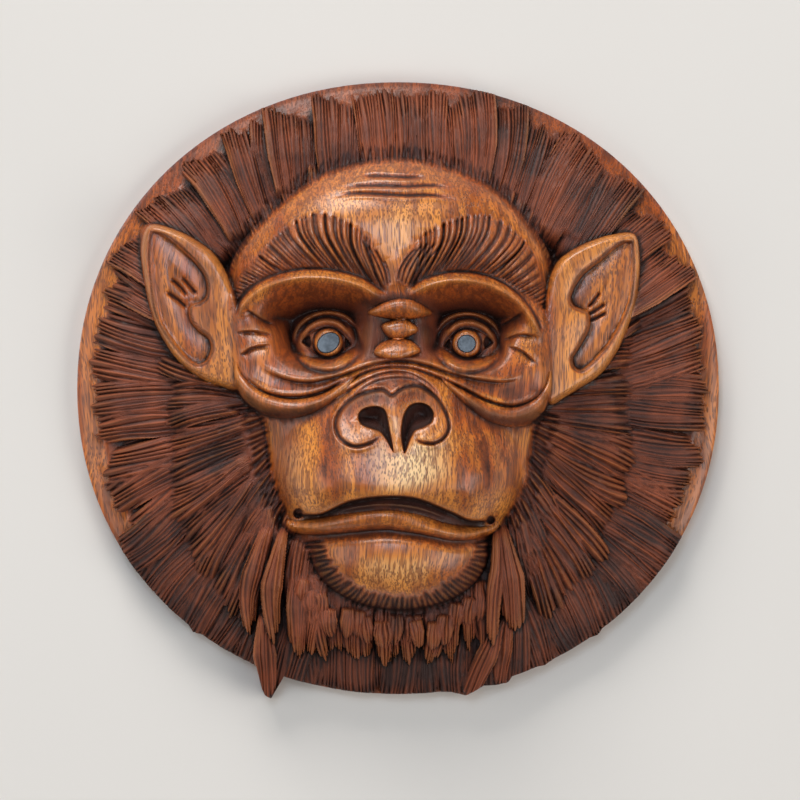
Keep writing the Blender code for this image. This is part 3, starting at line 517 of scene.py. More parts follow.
# The ears: outline of each, the hollow of its shell and the short cuts inside
LEFT_EAR = [(-123, 81), (-110, 78.5), (-97.5, 72), (-88.5, 63.5), (-78, 42), (-74, 20), (-74, 4), (-79, -2),
            (-88.5, 0.5), (-97.5, 4), (-106.5, 10.5), (-114.5, 20.5), (-122, 35.5), (-126.5, 55.5),
            (-127.5, 71)]
RIGHT_EAR = [(117, 76.5), (105, 76), (95, 73), (85, 68), (78, 61.5), (73, 50), (70, 20), (69, 0), (75, -9),
             (83, -5), (90.5, -0.5), (100.5, 6.5), (109, 18), (116, 35), (119.5, 50), (120, 66)]
LEFT_SHELL = [(-122.5, 77.5), (-114, 75), (-103.5, 66.5), (-96, 58), (-93.5, 51), (-94, 45), (-97.5, 41.5),
              (-102, 40), (-102, 34.5), (-98.5, 29.5), (-93, 25), (-91.5, 19), (-94.5, 12.5), (-100, 11),
              (-106.5, 15.5), (-116, 28), (-120.5, 38.5), (-122.5, 52.5), (-123.5, 67)]
RIGHT_SHELL = [(116.5, 72.5), (109, 71.5), (100.5, 64.5), (92, 58), (87.5, 52), (84.5, 45), (86.5, 40),
               (90.5, 38), (93.5, 36.5), (93.5, 29.5), (89, 21), (85.5, 15), (87, 9.5), (92, 8.5),
               (100.5, 16), (107.5, 25.5), (113, 36.5), (116, 46.5), (117, 61)]
EAR_CUTS = ([(-113, 54.5), (-108, 50), (-104, 45)], [(-107.5, 55.5), (-103, 50), (-99, 46)],
            [(-115.5, 48), (-109, 43.5), (-104, 39)], [(100.5, 48), (97, 43), (93.5, 39.5)],
            [(103, 42), (98, 38.5), (94, 36)], [(103.5, 37.5), (99, 35), (94.5, 33)])

# How high the ears stand at their outline and within it, how that falls outwards and from where, and how deep
# the shell is: at the tip of the ear, and more towards the head
EAR_BASE, EAR_TOP, EAR_FALL, EAR_START = 27.0, 45.0, 0.2, 75.0
EAR_STAIN, SHELL_STAIN = 0.0, 0.2
SHELL_EDGE, SHELL_FALL, SHELL_END, SHELL_REACH = 2.2, 0.14, 122.0, 40.0


def carve_ears(relief):
    side = np.abs(relief.x)
    top = EAR_TOP - EAR_FALL * (side - EAR_START)
    shell_depth = SHELL_EDGE + SHELL_FALL * np.clip(SHELL_END - side, 0.0, SHELL_REACH)
    for outline, shell in ((LEFT_EAR, LEFT_SHELL), (RIGHT_EAR, RIGHT_SHELL)):
        relief.inflate(outline, EAR_BASE, top, soft=4.5, blend=1.0, power=2.4)
        relief.paint(outline, EAR_STAIN, soft=1.5)
        relief.paint(shell, SHELL_STAIN, soft=1.5)
        relief.hollow(shell, shell_depth, soft=1.8)
        relief.swell(shell, height=1.5, soft=9.0)
        relief.groove([*shell, shell[0]], depth=0.9, width=0.8, ends=0.0, stain_and_shade=0.9)
    for points in EAR_CUTS:
        relief.groove(points, depth=2.2, width=0.9, ends=0.2, stain_and_shade=0.9)


# The head: a domed plate, the mass round the eyes, the muzzle and the chin. The centre line is (y, height)
HEAD = [(0, 114.5), (-31, 109), (-46, 101.5), (-60, 90.5), (-72, 79), (-81, 66), (-85, 50), (-84, 25),
        (-80, 0), (-73, -12), (-68, -22), (-65, -42), (-60, -56), (-54, -68), (-47, -80), (-36, -95),
        (-18, -105), (2, -108), (22, -104), (38, -92), (46, -78), (52, -68), (60, -58), (67, -44),
        (70, -22), (74, -10), (79, 8), (79, 35), (77.5, 56), (73, 71), (61, 88), (47, 100), (31, 108)]
ORBIT = [(0, 52), (-12, 55), (-30, 59), (-48, 59), (-64, 54), (-77, 45), (-82.5, 33), (-82.5, 14), (-80, 1),
         (-74, -8), (-64, -14), (-52, -16), (-40, -12), (-26, -3), (0, 6), (24, -4), (38, -13), (50, -18.5),
         (60, -19), (70, -14), (75, -5), (77, 10), (76, 30), (70, 43), (58, 52), (42, 57), (24, 57), (10, 54)]
MUZZLE = [(0, 16), (-20, 10), (-36, -4), (-50, -16), (-59, -32), (-61, -48), (-56, -62), (-44, -72),
          (-20, -76), (0, -77), (20, -76), (44, -73), (56, -62), (62, -46), (60, -32), (52, -18), (38, -6),
          (20, 8)]
CENTRE_LINE = ((114, 39), (105, 47), (95, 53), (80, 57.5), (65, 59), (52, 58), (40, 55), (25, 54), (12, 58),
               (2, 65), (-10, 71), (-25, 74), (-45, 76), (-57, 75), (-66, 71), (-74, 66), (-86, 65),
               (-97, 60), (-108, 48))

# The skin, which is left light: its edge runs inside the head's, and round the chin
SKIN = [(0, 113), (-31, 107.5), (-46, 100), (-60, 89), (-72, 77), (-80, 64), (-84, 50), (-83, 25), (-79, 0),
        (-72, -13), (-66, -24), (-63.5, -42), (-58.5, -56), (-54, -67), (-48, -73), (-38, -75), (-35, -84),
        (-27, -94), (-14, -101), (2, -103.5), (17, -101), (29, -93), (37, -83), (40, -76), (50, -70),
        (54, -64), (59, -54), (64, -44), (67, -22), (72, -10), (77, 8), (78, 35), (76, 56), (71, 70),
        (59, 86.5), (45, 99), (30, 107)]
FACE_STAIN = 0.0

# A haze of stain and painted shade just inside the hairline, where the forehead falls away, and a little
# stain over the mass round the eyes
HAZE = [(-80, 52), (-73, 69), (-62, 82), (-48, 94), (-31, 102), (-14, 108), (0, 109), (16, 107), (32, 101),
        (46, 93), (60, 80), (70, 64), (74, 48)]
HAZE_WIDTH, HAZE_STAIN_AND_SHADE, ORBIT_STAIN = 7.0, 0.25, 0.12

# How high the plate and the mass round the eyes may rise in the middle, how softly they are held there, and
# how far each mass falls by a distance to the side
PLATE_TOP, PLATE_SOFT, PLATE_FALL = 58.0, 8.0, 7.0
ORBIT_TOP, ORBIT_SOFT, ORBIT_FALL = 56.0, 6.0, 4.0
MUZZLE_FALL = 5.0
HEAD_SIDE, MUZZLE_SIDE = 70.0, 40.0
CHIN_CENTRE, CHIN_RADII = (1, -80), (44.5, 30)


def carve_head(relief):
    side = np.abs(relief.x)
    line = curve_through(CENTRE_LINE)[::-1]
    middle = np.interp(relief.y, line[:, 0], line[:, 1])
    plate = smooth_min(middle, PLATE_TOP, PLATE_SOFT) - PLATE_FALL * (side / HEAD_SIDE) ** 2.5
    relief.inflate(HEAD, base=30.0, top=plate, soft=34.0, blend=3.0, power=2.1)
    relief.paint(SKIN, FACE_STAIN, soft=5.0)
    relief.shade(HAZE, HAZE_WIDTH, HAZE_STAIN_AND_SHADE, ends=0.05)
    orbit = smooth_min(middle, ORBIT_TOP, ORBIT_SOFT) - ORBIT_FALL * (side / HEAD_SIDE) ** 2
    relief.inflate(ORBIT, base=38.0, top=orbit, soft=11.0, blend=3.0, power=2.2)
    relief.paint(ORBIT, ORBIT_STAIN, soft=9.0, tone=0.7)
    relief.ease(MUZZLE, middle - MUZZLE_FALL * (side / MUZZLE_SIDE) ** 2, soft=30.0)
    relief.dome(CHIN_CENTRE, CHIN_RADII, base=36.0, top=66.0, power=2.1, blend=3.0)


# The brows and the sockets below them
LEFT_BROW = [(-84, 38), (-82, 50), (-77, 59), (-66, 69.5), (-55, 78), (-46, 83.5), (-38, 86), (-28, 82.5),
             (-20, 78), (-12, 70), (-5.5, 58), (-5, 50), (-9, 49), (-17, 55), (-30, 58.5), (-45, 59),
             (-62, 55), (-76, 46)]
RIGHT_BROW = [(-2, 54), (3, 65), (11, 74), (20, 79), (30, 82.5), (40, 85), (48, 83), (56, 77.5), (65, 69.5),
              (71, 59), (74.5, 47), (74.5, 36), (70, 38), (58, 50), (45, 56), (28, 57.5), (15, 54), (4, 49)]
LEFT_RIM = [(-80, 30), (-77, 41), (-66, 49.5), (-50, 54), (-34, 54), (-19, 50.5), (-10, 45), (-5, 42)]
RIGHT_RIM = [(4, 44), (14, 50), (28, 53), (44, 51), (57, 44), (66, 34), (72, 22)]
LEFT_SOCKET = [(-71, 33), (-66, 44), (-50, 51.5), (-34, 52), (-18, 48.5), (-10.5, 39), (-12, 26), (-14, 16),
               (-22, 10.5), (-36, 7), (-50, 7.5), (-60, 13), (-65, 23)]
RIGHT_SOCKET = [(64, 35), (59, 43.5), (46, 49.5), (30, 51), (15, 48), (8.5, 39), (10, 26), (12, 16),
                (22, 10.5), (34, 7.5), (47, 7.5), (55, 13), (60, 25)]
SOCKET_DEPTH, SOCKET_SOFT, SOCKET_STAIN_AND_SHADE = 22.0, 17.0, 0.65
BROW_RISE, BROW_SOFT, BROW_STAIN = 4.5, 11.0, 0.55


def carve_brows(relief):
    for outline, line in ((LEFT_BROW, LEFT_RIM), (RIGHT_BROW, RIGHT_RIM)):
        relief.swell(outline, BROW_RISE, BROW_SOFT, power=0.9)
        relief.ridge(line, height=4.5, width=3.5)
        relief.ridge(line, height=1.2, width=1.2)
        relief.paint(outline, BROW_STAIN, soft=4.0, tone=0.7)
    for outline in (LEFT_SOCKET, RIGHT_SOCKET):
        relief.hollow(outline, SOCKET_DEPTH, SOCKET_SOFT)
        # The sockets are darkened by stain and by painted shade under the brows
        relief.paint(outline, SOCKET_STAIN_AND_SHADE, soft=5.0, tone=0.6)


# The eyes, drawn about each one's centre for the left and mirrored for the right: the mass of the lids, the
# opening, its corners, the upper lid, the ring over it, the lower lid, the pale plate below it and its edge
EYE_LEFT, EYE_RIGHT = (-34.4, 22.3), (33.9, 21.8)
EYES = ((EYE_LEFT, 1, PUPILS["pupil_left"]), (EYE_RIGHT, -1, PUPILS["pupil_right"]))
LID_MASS, LID_LIFT, LID_STAIN = (18.5, 15.5), 0.8, 0.75
ALMOND = [(-13, 1), (-9, 5.2), (-4, 7.8), (1, 8.3), (6, 6), (10, 2), (11, -1), (8, -4), (3, -7), (-2, -7.5),
          (-7, -5.5)]
CORNERS = ([(-13.5, 0.5), (-9.5, 3.6), (-8, 0), (-9.5, -2.6)],
           [(11.5, -1), (8.5, 2.6), (7.6, -0.5), (8.5, -3)])
UPPER_LID = [(-13.5, 2), (-10.5, 7), (-5, 10.3), (0, 11), (5.5, 9.2), (10.5, 4)]
RING = [(-17, -5), (-16.5, 3), (-13.5, 9.5), (-7, 14), (0, 15.3), (7, 14), (12.5, 9.5), (15.5, 3), (16.5, -4)]
LOWER_LID = [(-14, -5), (-9.5, -9.5), (-2, -11.8), (5, -11), (11.5, -6.5)]
LOWER_PLATE = [(-14, -3.5), (-8, -7), (-2, -8.8), (4, -8.4), (9, -4.5), (14, -4), (11.5, -9), (5, -12.6),
               (-2, -13.4), (-9.5, -11.4), (-15, -6.5)]
LOWER_RING = [(-17, -5.5), (-14.5, -9), (-9.5, -12.8), (-2, -14.8), (5, -14), (11.5, -10), (16.5, -4.5)]
PLATE_STAIN = 0.3
IRIS_LEVEL, IRIS_DOME, IRIS_MARGIN = 47.0, 0.8, 0.3


def placed(points, centre, flip):
    """Points drawn about an eye's centre, moved to it, and mirrored by a flip of -1."""
    return [(centre[0] + flip * px, centre[1] + py) for px, py in points]


def carve_iris(relief, centre, radius):
    """A shallow dome of plain wood in place of what was there, with a cut round it."""
    from_middle = np.hypot(relief.x - centre[0], relief.y - centre[1]) / radius
    iris = IRIS_LEVEL - IRIS_DOME * blend_step(0.75, 1.0, from_middle)
    share = blend_step(-1.1, -0.95, -from_middle)
    relief.z += (iris - relief.z) * share
    relief.stain_and_shade *= 1.0 - share
    edge = circle(centre, radius + IRIS_MARGIN)
    relief.groove(np.vstack([edge, edge[:1]]), depth=1.6, width=0.8, ends=0.0, stain_and_shade=1.0)


def carve_eyes(relief):
    for centre, flip, (pupil_length, _, _, iris_band) in EYES:
        relief.dome((centre[0], centre[1] + LID_LIFT), LID_MASS, base=34.0, top=46.0, power=2.2, blend=1.0)
        almond, upper, lower, ring = (placed(points, centre, flip)
                                      for points in (ALMOND, UPPER_LID, LOWER_LID, RING))
        relief.paint([*ring, *lower[::-1]], LID_STAIN, soft=4.0, tone=0.75)
        # Painted shade in the socket above the ring, under the brow
        relief.shade(lifted(ring, 4.0), width=3.5, stain_and_shade=0.85, ends=0.15)
        relief.groove(lifted(ring, -2.6), depth=2.4, width=1.4, ends=0.1, stain_and_shade=0.9)
        relief.ridge(ring, height=1.8, width=1.0)
        relief.hollow(almond, depth=3.2, soft=1.2)
        relief.swell(almond, height=3.6, soft=8.0)
        relief.ridge(upper, height=2.2, width=1.3)
        relief.groove(lifted(upper, 2.2), depth=1.8, width=0.8, ends=0.1, stain_and_shade=1.0)
        relief.groove([*almond, almond[0]], depth=1.0, width=0.8, ends=0.0, stain_and_shade=1.0)
        relief.ridge(lower, height=2.6, width=2.0)
        relief.paint(placed(LOWER_PLATE, centre, flip), PLATE_STAIN, soft=1.5, tone=0.8)
        relief.groove(placed(LOWER_RING, centre, flip), depth=1.6, width=1.2, ends=0.1, stain_and_shade=0.85)
        # The corners of the opening are cut and painted black as shade
        for corner in CORNERS:
            relief.hollow(placed(corner, centre, flip), depth=2.5, soft=1.0)
            relief.paint_black_shade(placed(corner, centre, flip), soft=0.8)
        carve_iris(relief, centre, pupil_length / 2 + iris_band)


# The bridge between the eyes, darkened by stain and painted shade in its hollow, and its three knobs:
# outline, how softly it rounds and how dark
BRIDGE = [(-17, 45), (0, 47), (18, 45), (19, 30), (16, 13.5), (0, 12.5), (-16, 13.5), (-18, 30)]
BRIDGE_SHADE = [(-21, 41), (-12, 46), (0, 47), (12, 46), (22, 41), (22.5, 24), (17, 13.5), (0, 12.5),
                (-17, 13.5), (-22, 24)]
BRIDGE_DEPTH, BRIDGE_SOFT, BRIDGE_STAIN_AND_SHADE, KNOB_RISE = 4.0, 15.0, 0.95, 6.0
KNOBS = (
    ([(-15, 37), (-7, 42), (1.5, 44), (9, 42.5), (17, 37), (9, 34.2), (1.5, 33.5), (-6, 34.2)], 5.0, 0.45),
    ([(-8, 31), (-1, 34), (5, 33.5), (10, 28.5), (4, 24.5), (0, 23.5), (-5, 25)], 4.5, 0.25),
    ([(-12, 18), (-8, 22.5), (0, 24.8), (7, 23), (11, 18), (4, 15), (-4, 14.5), (-10, 15.5)], 4.5, 0.3),
)


def carve_bridge(relief):
    relief.hollow(BRIDGE, BRIDGE_DEPTH, BRIDGE_SOFT)
    relief.paint(BRIDGE_SHADE, BRIDGE_STAIN_AND_SHADE, soft=4.0, tone=0.3)
    for outline, soft, stain_and_shade in KNOBS:
        relief.swell(outline, KNOB_RISE, soft)
        relief.paint(outline, stain_and_shade, soft=1.5)


# The folds below the eyes: path, then how proud and how far above it, how deep and how far below
FOLD_LINES = (
    ([(-70, 13), (-64, 8), (-54, 4.2), (-43, 3), (-28, 6.5), (-13, 11.5), (0, 13.5), (13, 11.8), (29, 6.5),
      (44, 3.5), (55, 3.2), (64, 6)], 2.8, 6.0, 1.9, 3.0),
    ([(-79, 9), (-66, -1.5), (-52, -4.3), (-38, -1.8), (-25, 4), (-12, 9.2), (0, 10.5), (10, 9), (21, 5),
      (32, 0), (44, -5.8), (56, -8.7), (66, -5.5), (74, 2)], 1.0, 3.0, 2.4, 2.2),
    ([(-31, -6), (-22, 0.5), (-14, 5), (-5, 7.8), (3, 7.8), (10, 5.5), (17, 0.5), (23, -7)],
     1.5, 3.0, 1.6, 2.5),
    ([(-24, -4.5), (-12, 3), (-2, 5.2), (6, 4.8), (12, 2), (19, -4)], 1.0, 2.0, 1.2, 2.5),
)

# The bags below the eyes and the creases beside them
BAG_RISE, BAG_SOFT = 6.5, 9.0
LEFT_BAG = [(-80, 13), (-77, 6), (-67, -2), (-52, -5.5), (-38, -3), (-28, 3), (-19, 7.5), (-26, -0.5),
            (-35, -8.5), (-46, -13.8), (-57, -15.2), (-68, -12.5), (-77, -6), (-81, 3)]
RIGHT_BAG = [(75.5, 9), (73, 1), (67, -6), (56, -9.5), (43, -6.5), (30, 0.5), (21, 5), (28, -3),
             (36, -10.5), (45, -16.5), (56, -19.5), (66, -17.5), (73, -11), (76, -1)]
CROWS_FEET = ([(-76, 40), (-68, 34.5), (-60, 31)], [(-81, 27.5), (-71, 28), (-61, 26)],
              [(-79, 15.5), (-72, 20), (-62, 21.5)], [(50, 31), (56, 34), (62, 38.5)],
              [(51, 23.5), (60, 26.5), (70, 25.5)], [(53, 21), (61, 18.5), (69, 11.5)])

# The raised edge along each fold, and where stain and painted shade lie thick about them, most under the
# bags: path, half width and how dark
EDGE_SHIFT, EDGE_RISE, EDGE_WIDTH = 1.5, 0.8, 0.9
FOLD_SHADES = (
    ([(-66, 4), (-52, 0), (-38, 0.5), (-24, 6)], 2.6, 0.5),
    ([(28, 4), (42, 0), (55, -2), (66, 0)], 3.6, 0.75),
    ([(-80, 1), (-69, -10), (-56, -13), (-45, -11.5), (-34, -6)], 4.0, 0.95),
    ([(-34, -4), (-33.5, -14), (-32, -24)], 2.8, 0.5),
    ([(27, -2), (29, -12), (28, -22)], 2.8, 0.55),
    ([(28, -1), (37, -9), (47, -14.5), (57, -16.5), (66, -14), (74, -6)], 4.2, 0.95),
    ([(55, 2), (60, -5), (61, -11), (58, -17)], 5.0, 0.8),
    ([(48, 28), (55, 31), (62, 36)], 3.0, 0.6),
    ([(-58, 31), (-66, 34), (-74, 38)], 3.0, 0.5),
    ([(-12, 0.5), (0, 2.5), (12, 0)], 2.5, 0.7),
    ([(62, 2), (70, -2), (75, -8)], 3.0, 0.7),
    ([(-70, 16), (-56, 9), (-42, 6.5), (-26, 9)], 4.5, 0.5),
    ([(68, 14), (55, 7.5), (42, 7), (26, 9.5)], 4.5, 0.5),
    ([(-17, 2), (-4, 6), (12, 3)], 3.0, 0.5),
    ([(-62, -14), (-50, -14.5), (-38, -9), (-28, -1)], 3.5, 0.45),
    ([(30, -6), (42, -14), (54, -18)], 3.5, 0.6),
    ([(-24, -7), (-12, -4), (-3, -6), (8, -3), (19, -7)], 3.5, 0.5),
)


def carve_folds(relief):
    for outline in (LEFT_BAG, RIGHT_BAG):
        relief.swell(outline, BAG_RISE, BAG_SOFT)
    for points, up, up_soft, down, down_soft in FOLD_LINES:
        relief.fold(points, up, up_soft, down, down_soft)
        relief.ridge(shifted(points, EDGE_SHIFT), EDGE_RISE, EDGE_WIDTH, ends=0.1)
    for points in CROWS_FEET:
        relief.fold(points, up=1.2, up_soft=4.0, down=2.6, down_soft=4.0, sharp=0.7, ends=0.25, stain_and_shade=0.6)
    for points, half_width, stain_and_shade in FOLD_SHADES:
        relief.shade(points, half_width, stain_and_shade)


# The edge of the nose, the nostrils, and where the stain lies about them: path, half width and how dark
NOSE_EDGE = [(-8, -23), (-13.5, -26.8), (-21, -28.6), (-27.5, -25.5), (-30.3, -20), (-29.5, -14), (-25, -7.7),
             (-17, -3), (-8, -1.2), (-3, -4), (2, -0.8), (9, 0.8), (16, -2.7), (21.3, -8.5), (24.8, -17.5),
             (23, -23.7), (18, -27), (12, -26.7), (7.5, -24.3)]
NOSTRILS = ([(-20, -14.5), (-18.5, -11), (-14, -9), (-8.5, -9.2), (-5.5, -12), (-3.8, -20), (-2, -32),
             (-6.5, -25), (-9.5, -21.8), (-15, -20), (-18.5, -18)],
            [(10, -7), (15, -8.5), (17.8, -12.5), (17, -17), (13, -20), (8.8, -21.5), (6.2, -26),
             (3.2, -32.5), (1.2, -24), (2, -15), (5, -9)])
NOSTRIL_EDGE, NOSTRIL_DEPTH, WING_SHIFT = 4.0, 6.0, 2.0
NOSE_SHADES = (([(-27, -19), (-22, -10), (-14, -5.5), (-6, -5), (0, -8)], 5.0, 0.7),
               ([(-2, -7), (4, -4), (12, -3), (18, -9), (21, -16)], 3.5, 0.6))


def carve_nose(relief):
    # Stain and painted shade along the underside of the nose's edge
    relief.fold(NOSE_EDGE, up=0.0, up_soft=1.0, down=-2.6, down_soft=5.0, ends=0.05, stain_and_shade=1.0)
    for points, half_width, stain_and_shade in NOSE_SHADES:
        relief.shade(points, half_width, stain_and_shade)
    relief.groove(NOSE_EDGE, depth=1.4, width=0.9, ends=0.05, stain_and_shade=1.0)
    relief.ridge(shifted(NOSE_EDGE, WING_SHIFT), height=0.9, width=0.9, ends=0.1)
    # The nostrils are painted black as shade
    for outline in NOSTRILS:
        relief.hollow(outline, NOSTRIL_EDGE, soft=1.0)
        relief.hollow(outline, NOSTRIL_DEPTH, soft=6.0)
        relief.paint_black_shade(outline, soft=1.0)


# The mouth: the edge of the upper lip, the lower lip, the line under it, the gap between the lips, painted
# black as shade, and the drilled dot (x, y and radius) and the cut at each corner
UPPER_LIP = [(-53, -62), (-38.5, -62.3), (-24, -56), (-7.5, -53.5), (9, -54.5), (25.5, -61), (36, -65.5),
             (48, -65)]
LOWER_LIP = [(-54.5, -65), (-50, -65.8), (-38, -64), (-22, -61.5), (-6, -60), (9, -62), (25, -67),
             (36, -68.5), (46, -68), (50, -66), (50.5, -69), (46, -73), (38, -74.8), (27, -75.2), (10, -72),
             (-6, -70), (-22, -71.2), (-38, -72.8), (-50, -72), (-55, -69)]
UNDER_LIP = [(-54, -69), (-50, -71.5), (-39, -73.7), (-22, -72.3), (-6, -70.9), (10, -72.9), (27, -76.3),
             (39, -75.5), (47, -71.5), (50, -66)]
LIP_GAP = [(-46, -62.6), (-38.5, -62.8), (-24, -56.8), (-7.5, -54.3), (9, -55.3), (25.5, -61.8), (36, -66.3),
           (43, -66.3), (36, -68), (25, -67), (9, -62), (-6, -60), (-22, -61.5), (-38, -63.6)]
LIP_GAP_LINE = [(-31, -61), (-19, -58.5), (-6, -57.3), (10.5, -59.3), (27, -65.3)]
LIP_CORNERS = ((-49.3, -62, 2.8), (45.8, -65.2, 2.5))
LIP_STAIN = 0.22
BESIDE_LIPS = ([(-58, -60), (-58.5, -67), (-56, -72), (-50, -75)],
               [(54, -62), (54, -68), (51, -73), (45, -76.5)])


def carve_mouth(relief):
    relief.fold(UPPER_LIP, up=1.5, up_soft=5.0, down=9.0, down_soft=6.0, sharp=1.0, ends=0.08, stain_and_shade=1.0)
    relief.swell(LOWER_LIP, height=5.5, soft=4.8, power=0.8)
    relief.paint(LOWER_LIP, LIP_STAIN, soft=2.0)
    # Painted shade under the overhang of the lower lip, along the cut
    relief.groove(UNDER_LIP, depth=2.8, width=2.8, ends=0.2, stain_and_shade=0.75)
    relief.paint_black_shade(LIP_GAP, soft=1.0)
    relief.ridge(LIP_GAP_LINE, height=1.2, width=0.8)
    # The drilled dots and the cuts beside the lips are painted black as shade
    for px, py, radius in LIP_CORNERS:
        relief.hollow(circle((px, py), radius), depth=4.0, soft=1.2)
        relief.paint_black_shade(circle((px, py), radius), soft=0.8)
    for points in BESIDE_LIPS:
        relief.groove(points, depth=4.0, width=1.8, ends=0.2, stain_and_shade=1.0)


# The creases across the top of the forehead, each with a soft ridge this far below it
WRINKLES = ([(-20, 105), (-8, 104.8), (4, 104.2), (16, 104.5)],
            [(-30, 98.5), (-20, 99.7), (-8, 100), (4, 99.5), (17, 100), (29, 98.3)],
            [(-35, 94), (-22, 96), (-8, 95.6), (4, 95), (18, 95), (33, 92)])
WRINKLE_SHIFT = -1.8


def carve_wrinkles(relief):
    for points in WRINKLES:
        relief.groove(points, depth=1.5, width=1.0, ends=0.25, stain_and_shade=1.0)
        relief.ridge(shifted(points, WRINKLE_SHIFT), height=0.6, width=0.9, ends=0.25)


# The hairs of the brows: each starts at the cut above the rim of the socket, leans out, and turns up to its
# tip. Their gap, how far above the rim they start, their length, how far they stray past the outline, and
# the width over which they thin out there. Then how they lean in degrees: at the outer end, by how much
# less at the inner one, how far each strays from that, and how one bends on its way
BROW_GAP, BROW_ABOVE, BROW_LENGTH, BROW_STRAY, BROW_THIN = 1.9, 4.5, 34.0, 3.0, 4.0
BROW_LEAN, BROW_TURN, BROW_SWING, BROW_BENDS = 165.0, 62.0, 4.0, (12.0, 4.0, -18.0)
BROW_DEPTH, BROW_WIDTH, BROW_BOLD = 1.5, 0.6, 1.4
LEFT_INNER = ([(-7.5, 48.5), (-11, 56), (-14.5, 66), (-18, 74)],
              [(-6, 49), (-8.5, 57), (-12, 65), (-15.5, 71.5)],
              [(-5, 50), (-6.5, 58), (-9.5, 65), (-12, 69)], [(-3.6, 51), (-4.6, 58), (-7, 63)])
RIGHT_INNER = ([(0, 52.5), (1, 58), (4, 63.5), (9, 69)], [(1.5, 51), (3.5, 58.5), (7, 64.5), (12.5, 71)],
               [(3, 50), (6, 58), (10, 65), (15.5, 72)], [(5, 50), (8.5, 57.5), (13, 65), (19, 72)],
               [(7.5, 50.5), (11, 57), (16, 64.5), (22, 71)])


def carve_brow_hair(relief):
    rows = ((LEFT_RIM, LEFT_BROW, LEFT_INNER, 1, 61),
            (mirrored(RIGHT_RIM[::-1]), RIGHT_BROW, RIGHT_INNER, -1, 62))
    for line, outline, inner, flip, seed in rows:
        chance = random.Random(seed)
        heights, stain_and_shade_before = relief.z.copy(), relief.stain_and_shade.copy()
        above = lifted(line, BROW_ABOVE)
        spots = spaced(curve_through(above), BROW_GAP)
        for k, spot in enumerate(spots):
            inward = k / (len(spots) - 1)
            lean = BROW_LEAN - BROW_TURN * inward ** 0.7 + chance.uniform(-BROW_SWING, BROW_SWING)
            length = BROW_LENGTH * (0.45 + 0.55 * min(1.0, 2.0 * inward))
            path = [spot]
            for bend in BROW_BENDS:
                path.append(path[-1] + pointing(lean + bend) * length / len(BROW_BENDS))
            bold = 1.0 if k % 3 else BROW_BOLD
            depth = BROW_DEPTH * bold * chance.uniform(0.7, 1.2)
            path = [(flip * px, py) for px, py in path]
            relief.groove(path, depth, BROW_WIDTH * bold, ends=0.08, stain_and_shade=0.85)
        for path in inner:
            relief.groove(path, BROW_DEPTH, width=0.65, ends=0.1, stain_and_shade=1.0)
        chosen, distance = relief.inside(outline, BROW_STRAY)
        stray = np.interp(np.abs(relief.x[chosen]), (58.0, 70.0), (BROW_STRAY, 0.0))
        kept = np.zeros_like(relief.z)
        kept[chosen] = blend_step(0.0, BROW_THIN, distance + stray)
        relief.z = heights + (relief.z - heights) * kept
        relief.stain_and_shade = stain_and_shade_before + (relief.stain_and_shade - stain_and_shade_before) * kept
        relief.groove([(flip * px, py) for px, py in above], depth=1.8, width=1.0, ends=0.05, stain_and_shade=1.0)


# The short cuts that run from the skin into the hair
HAIRLINE = [(-84, 58), (-78, 71), (-69, 81), (-58, 92), (-45, 102), (-30, 109), (-14, 113.5), (0, 114.5),
            (15, 112.5), (31, 107.5), (47, 99.5), (60, 88), (71, 73), (76, 60)]
LEFT_CHEEK = [(-77, -8), (-69, -16), (-66.5, -30), (-64.5, -44), (-60, -56), (-56, -64)]
RIGHT_CHEEK = [(73, -12), (69, -24), (67.5, -36), (64.5, -50), (60, -60), (55, -67)]
CHIN = [(-41, -75), (-38, -86), (-29, -97), (-15, -104.5), (2, -107), (18, -104.5), (31, -96), (40, -85),
        (43, -75)]
CHIN_MIDDLE = (1.0, -76.0)

# The cuts: across which line, their gap, how far they run in and out, how deep and wide they are, the seed
# of their draws, how far they stray in degrees, and the point that they run out from, if any
FRINGES = (
    (HAIRLINE, 1.9, 3.5, 7.0, 1.0, 0.6, 51, 8.0, None),
    (LEFT_CHEEK, 2.5, 5.0, 9.0, 2.4, 0.85, 52, 6.0, None),
    (RIGHT_CHEEK, 2.6, 5.0, 9.0, 2.4, 0.85, 53, 6.0, None),
    (CHIN, 2.5, 6.5, 7.5, 2.2, 0.85, 54, 9.0, CHIN_MIDDLE),
)

# The slopes of hair under them: the height on the line, how steeply it falls and how far it reaches
CHEEK_SLOPE, CHIN_SLOPE = (39.0, 0.45, 13.0), (43.0, 1.2, 9.0)


def strokes(relief, line, gap, inner, outer, depth, width, seed, swing, middle):
    """Short dark cuts across a line, one every gap, running with the hair or straight out from a middle."""
    chance = random.Random(seed)
    for spot in spaced(curve_through(line), gap):
        way = outward(spot) if middle is None else (spot - middle) / np.hypot(*(spot - middle))
        way = turned(way, chance.uniform(-swing, swing))
        start = spot - way * inner * chance.uniform(0.7, 1.2)
        end = spot + way * outer * chance.uniform(0.8, 1.2)
        bow = turned(way, 90.0) * chance.uniform(-0.5, 0.5)
        deep = depth * chance.uniform(0.7, 1.2)
        relief.groove([start, (start + end) / 2 + bow, end], deep, width, ends=0.3, stain_and_shade=1.0)


def carve_fringe(relief):
    for line in (LEFT_CHEEK, RIGHT_CHEEK):
        relief.apron(line, *CHEEK_SLOPE)
    relief.apron(CHIN, *CHIN_SLOPE)
    for fringe in FRINGES:
        strokes(relief, *fringe)
    # Painted shade with stain where the chin falls away to the beard
    relief.shade(lifted(CHIN, -4.0), width=4.5, stain_and_shade=0.85, ends=0.1)


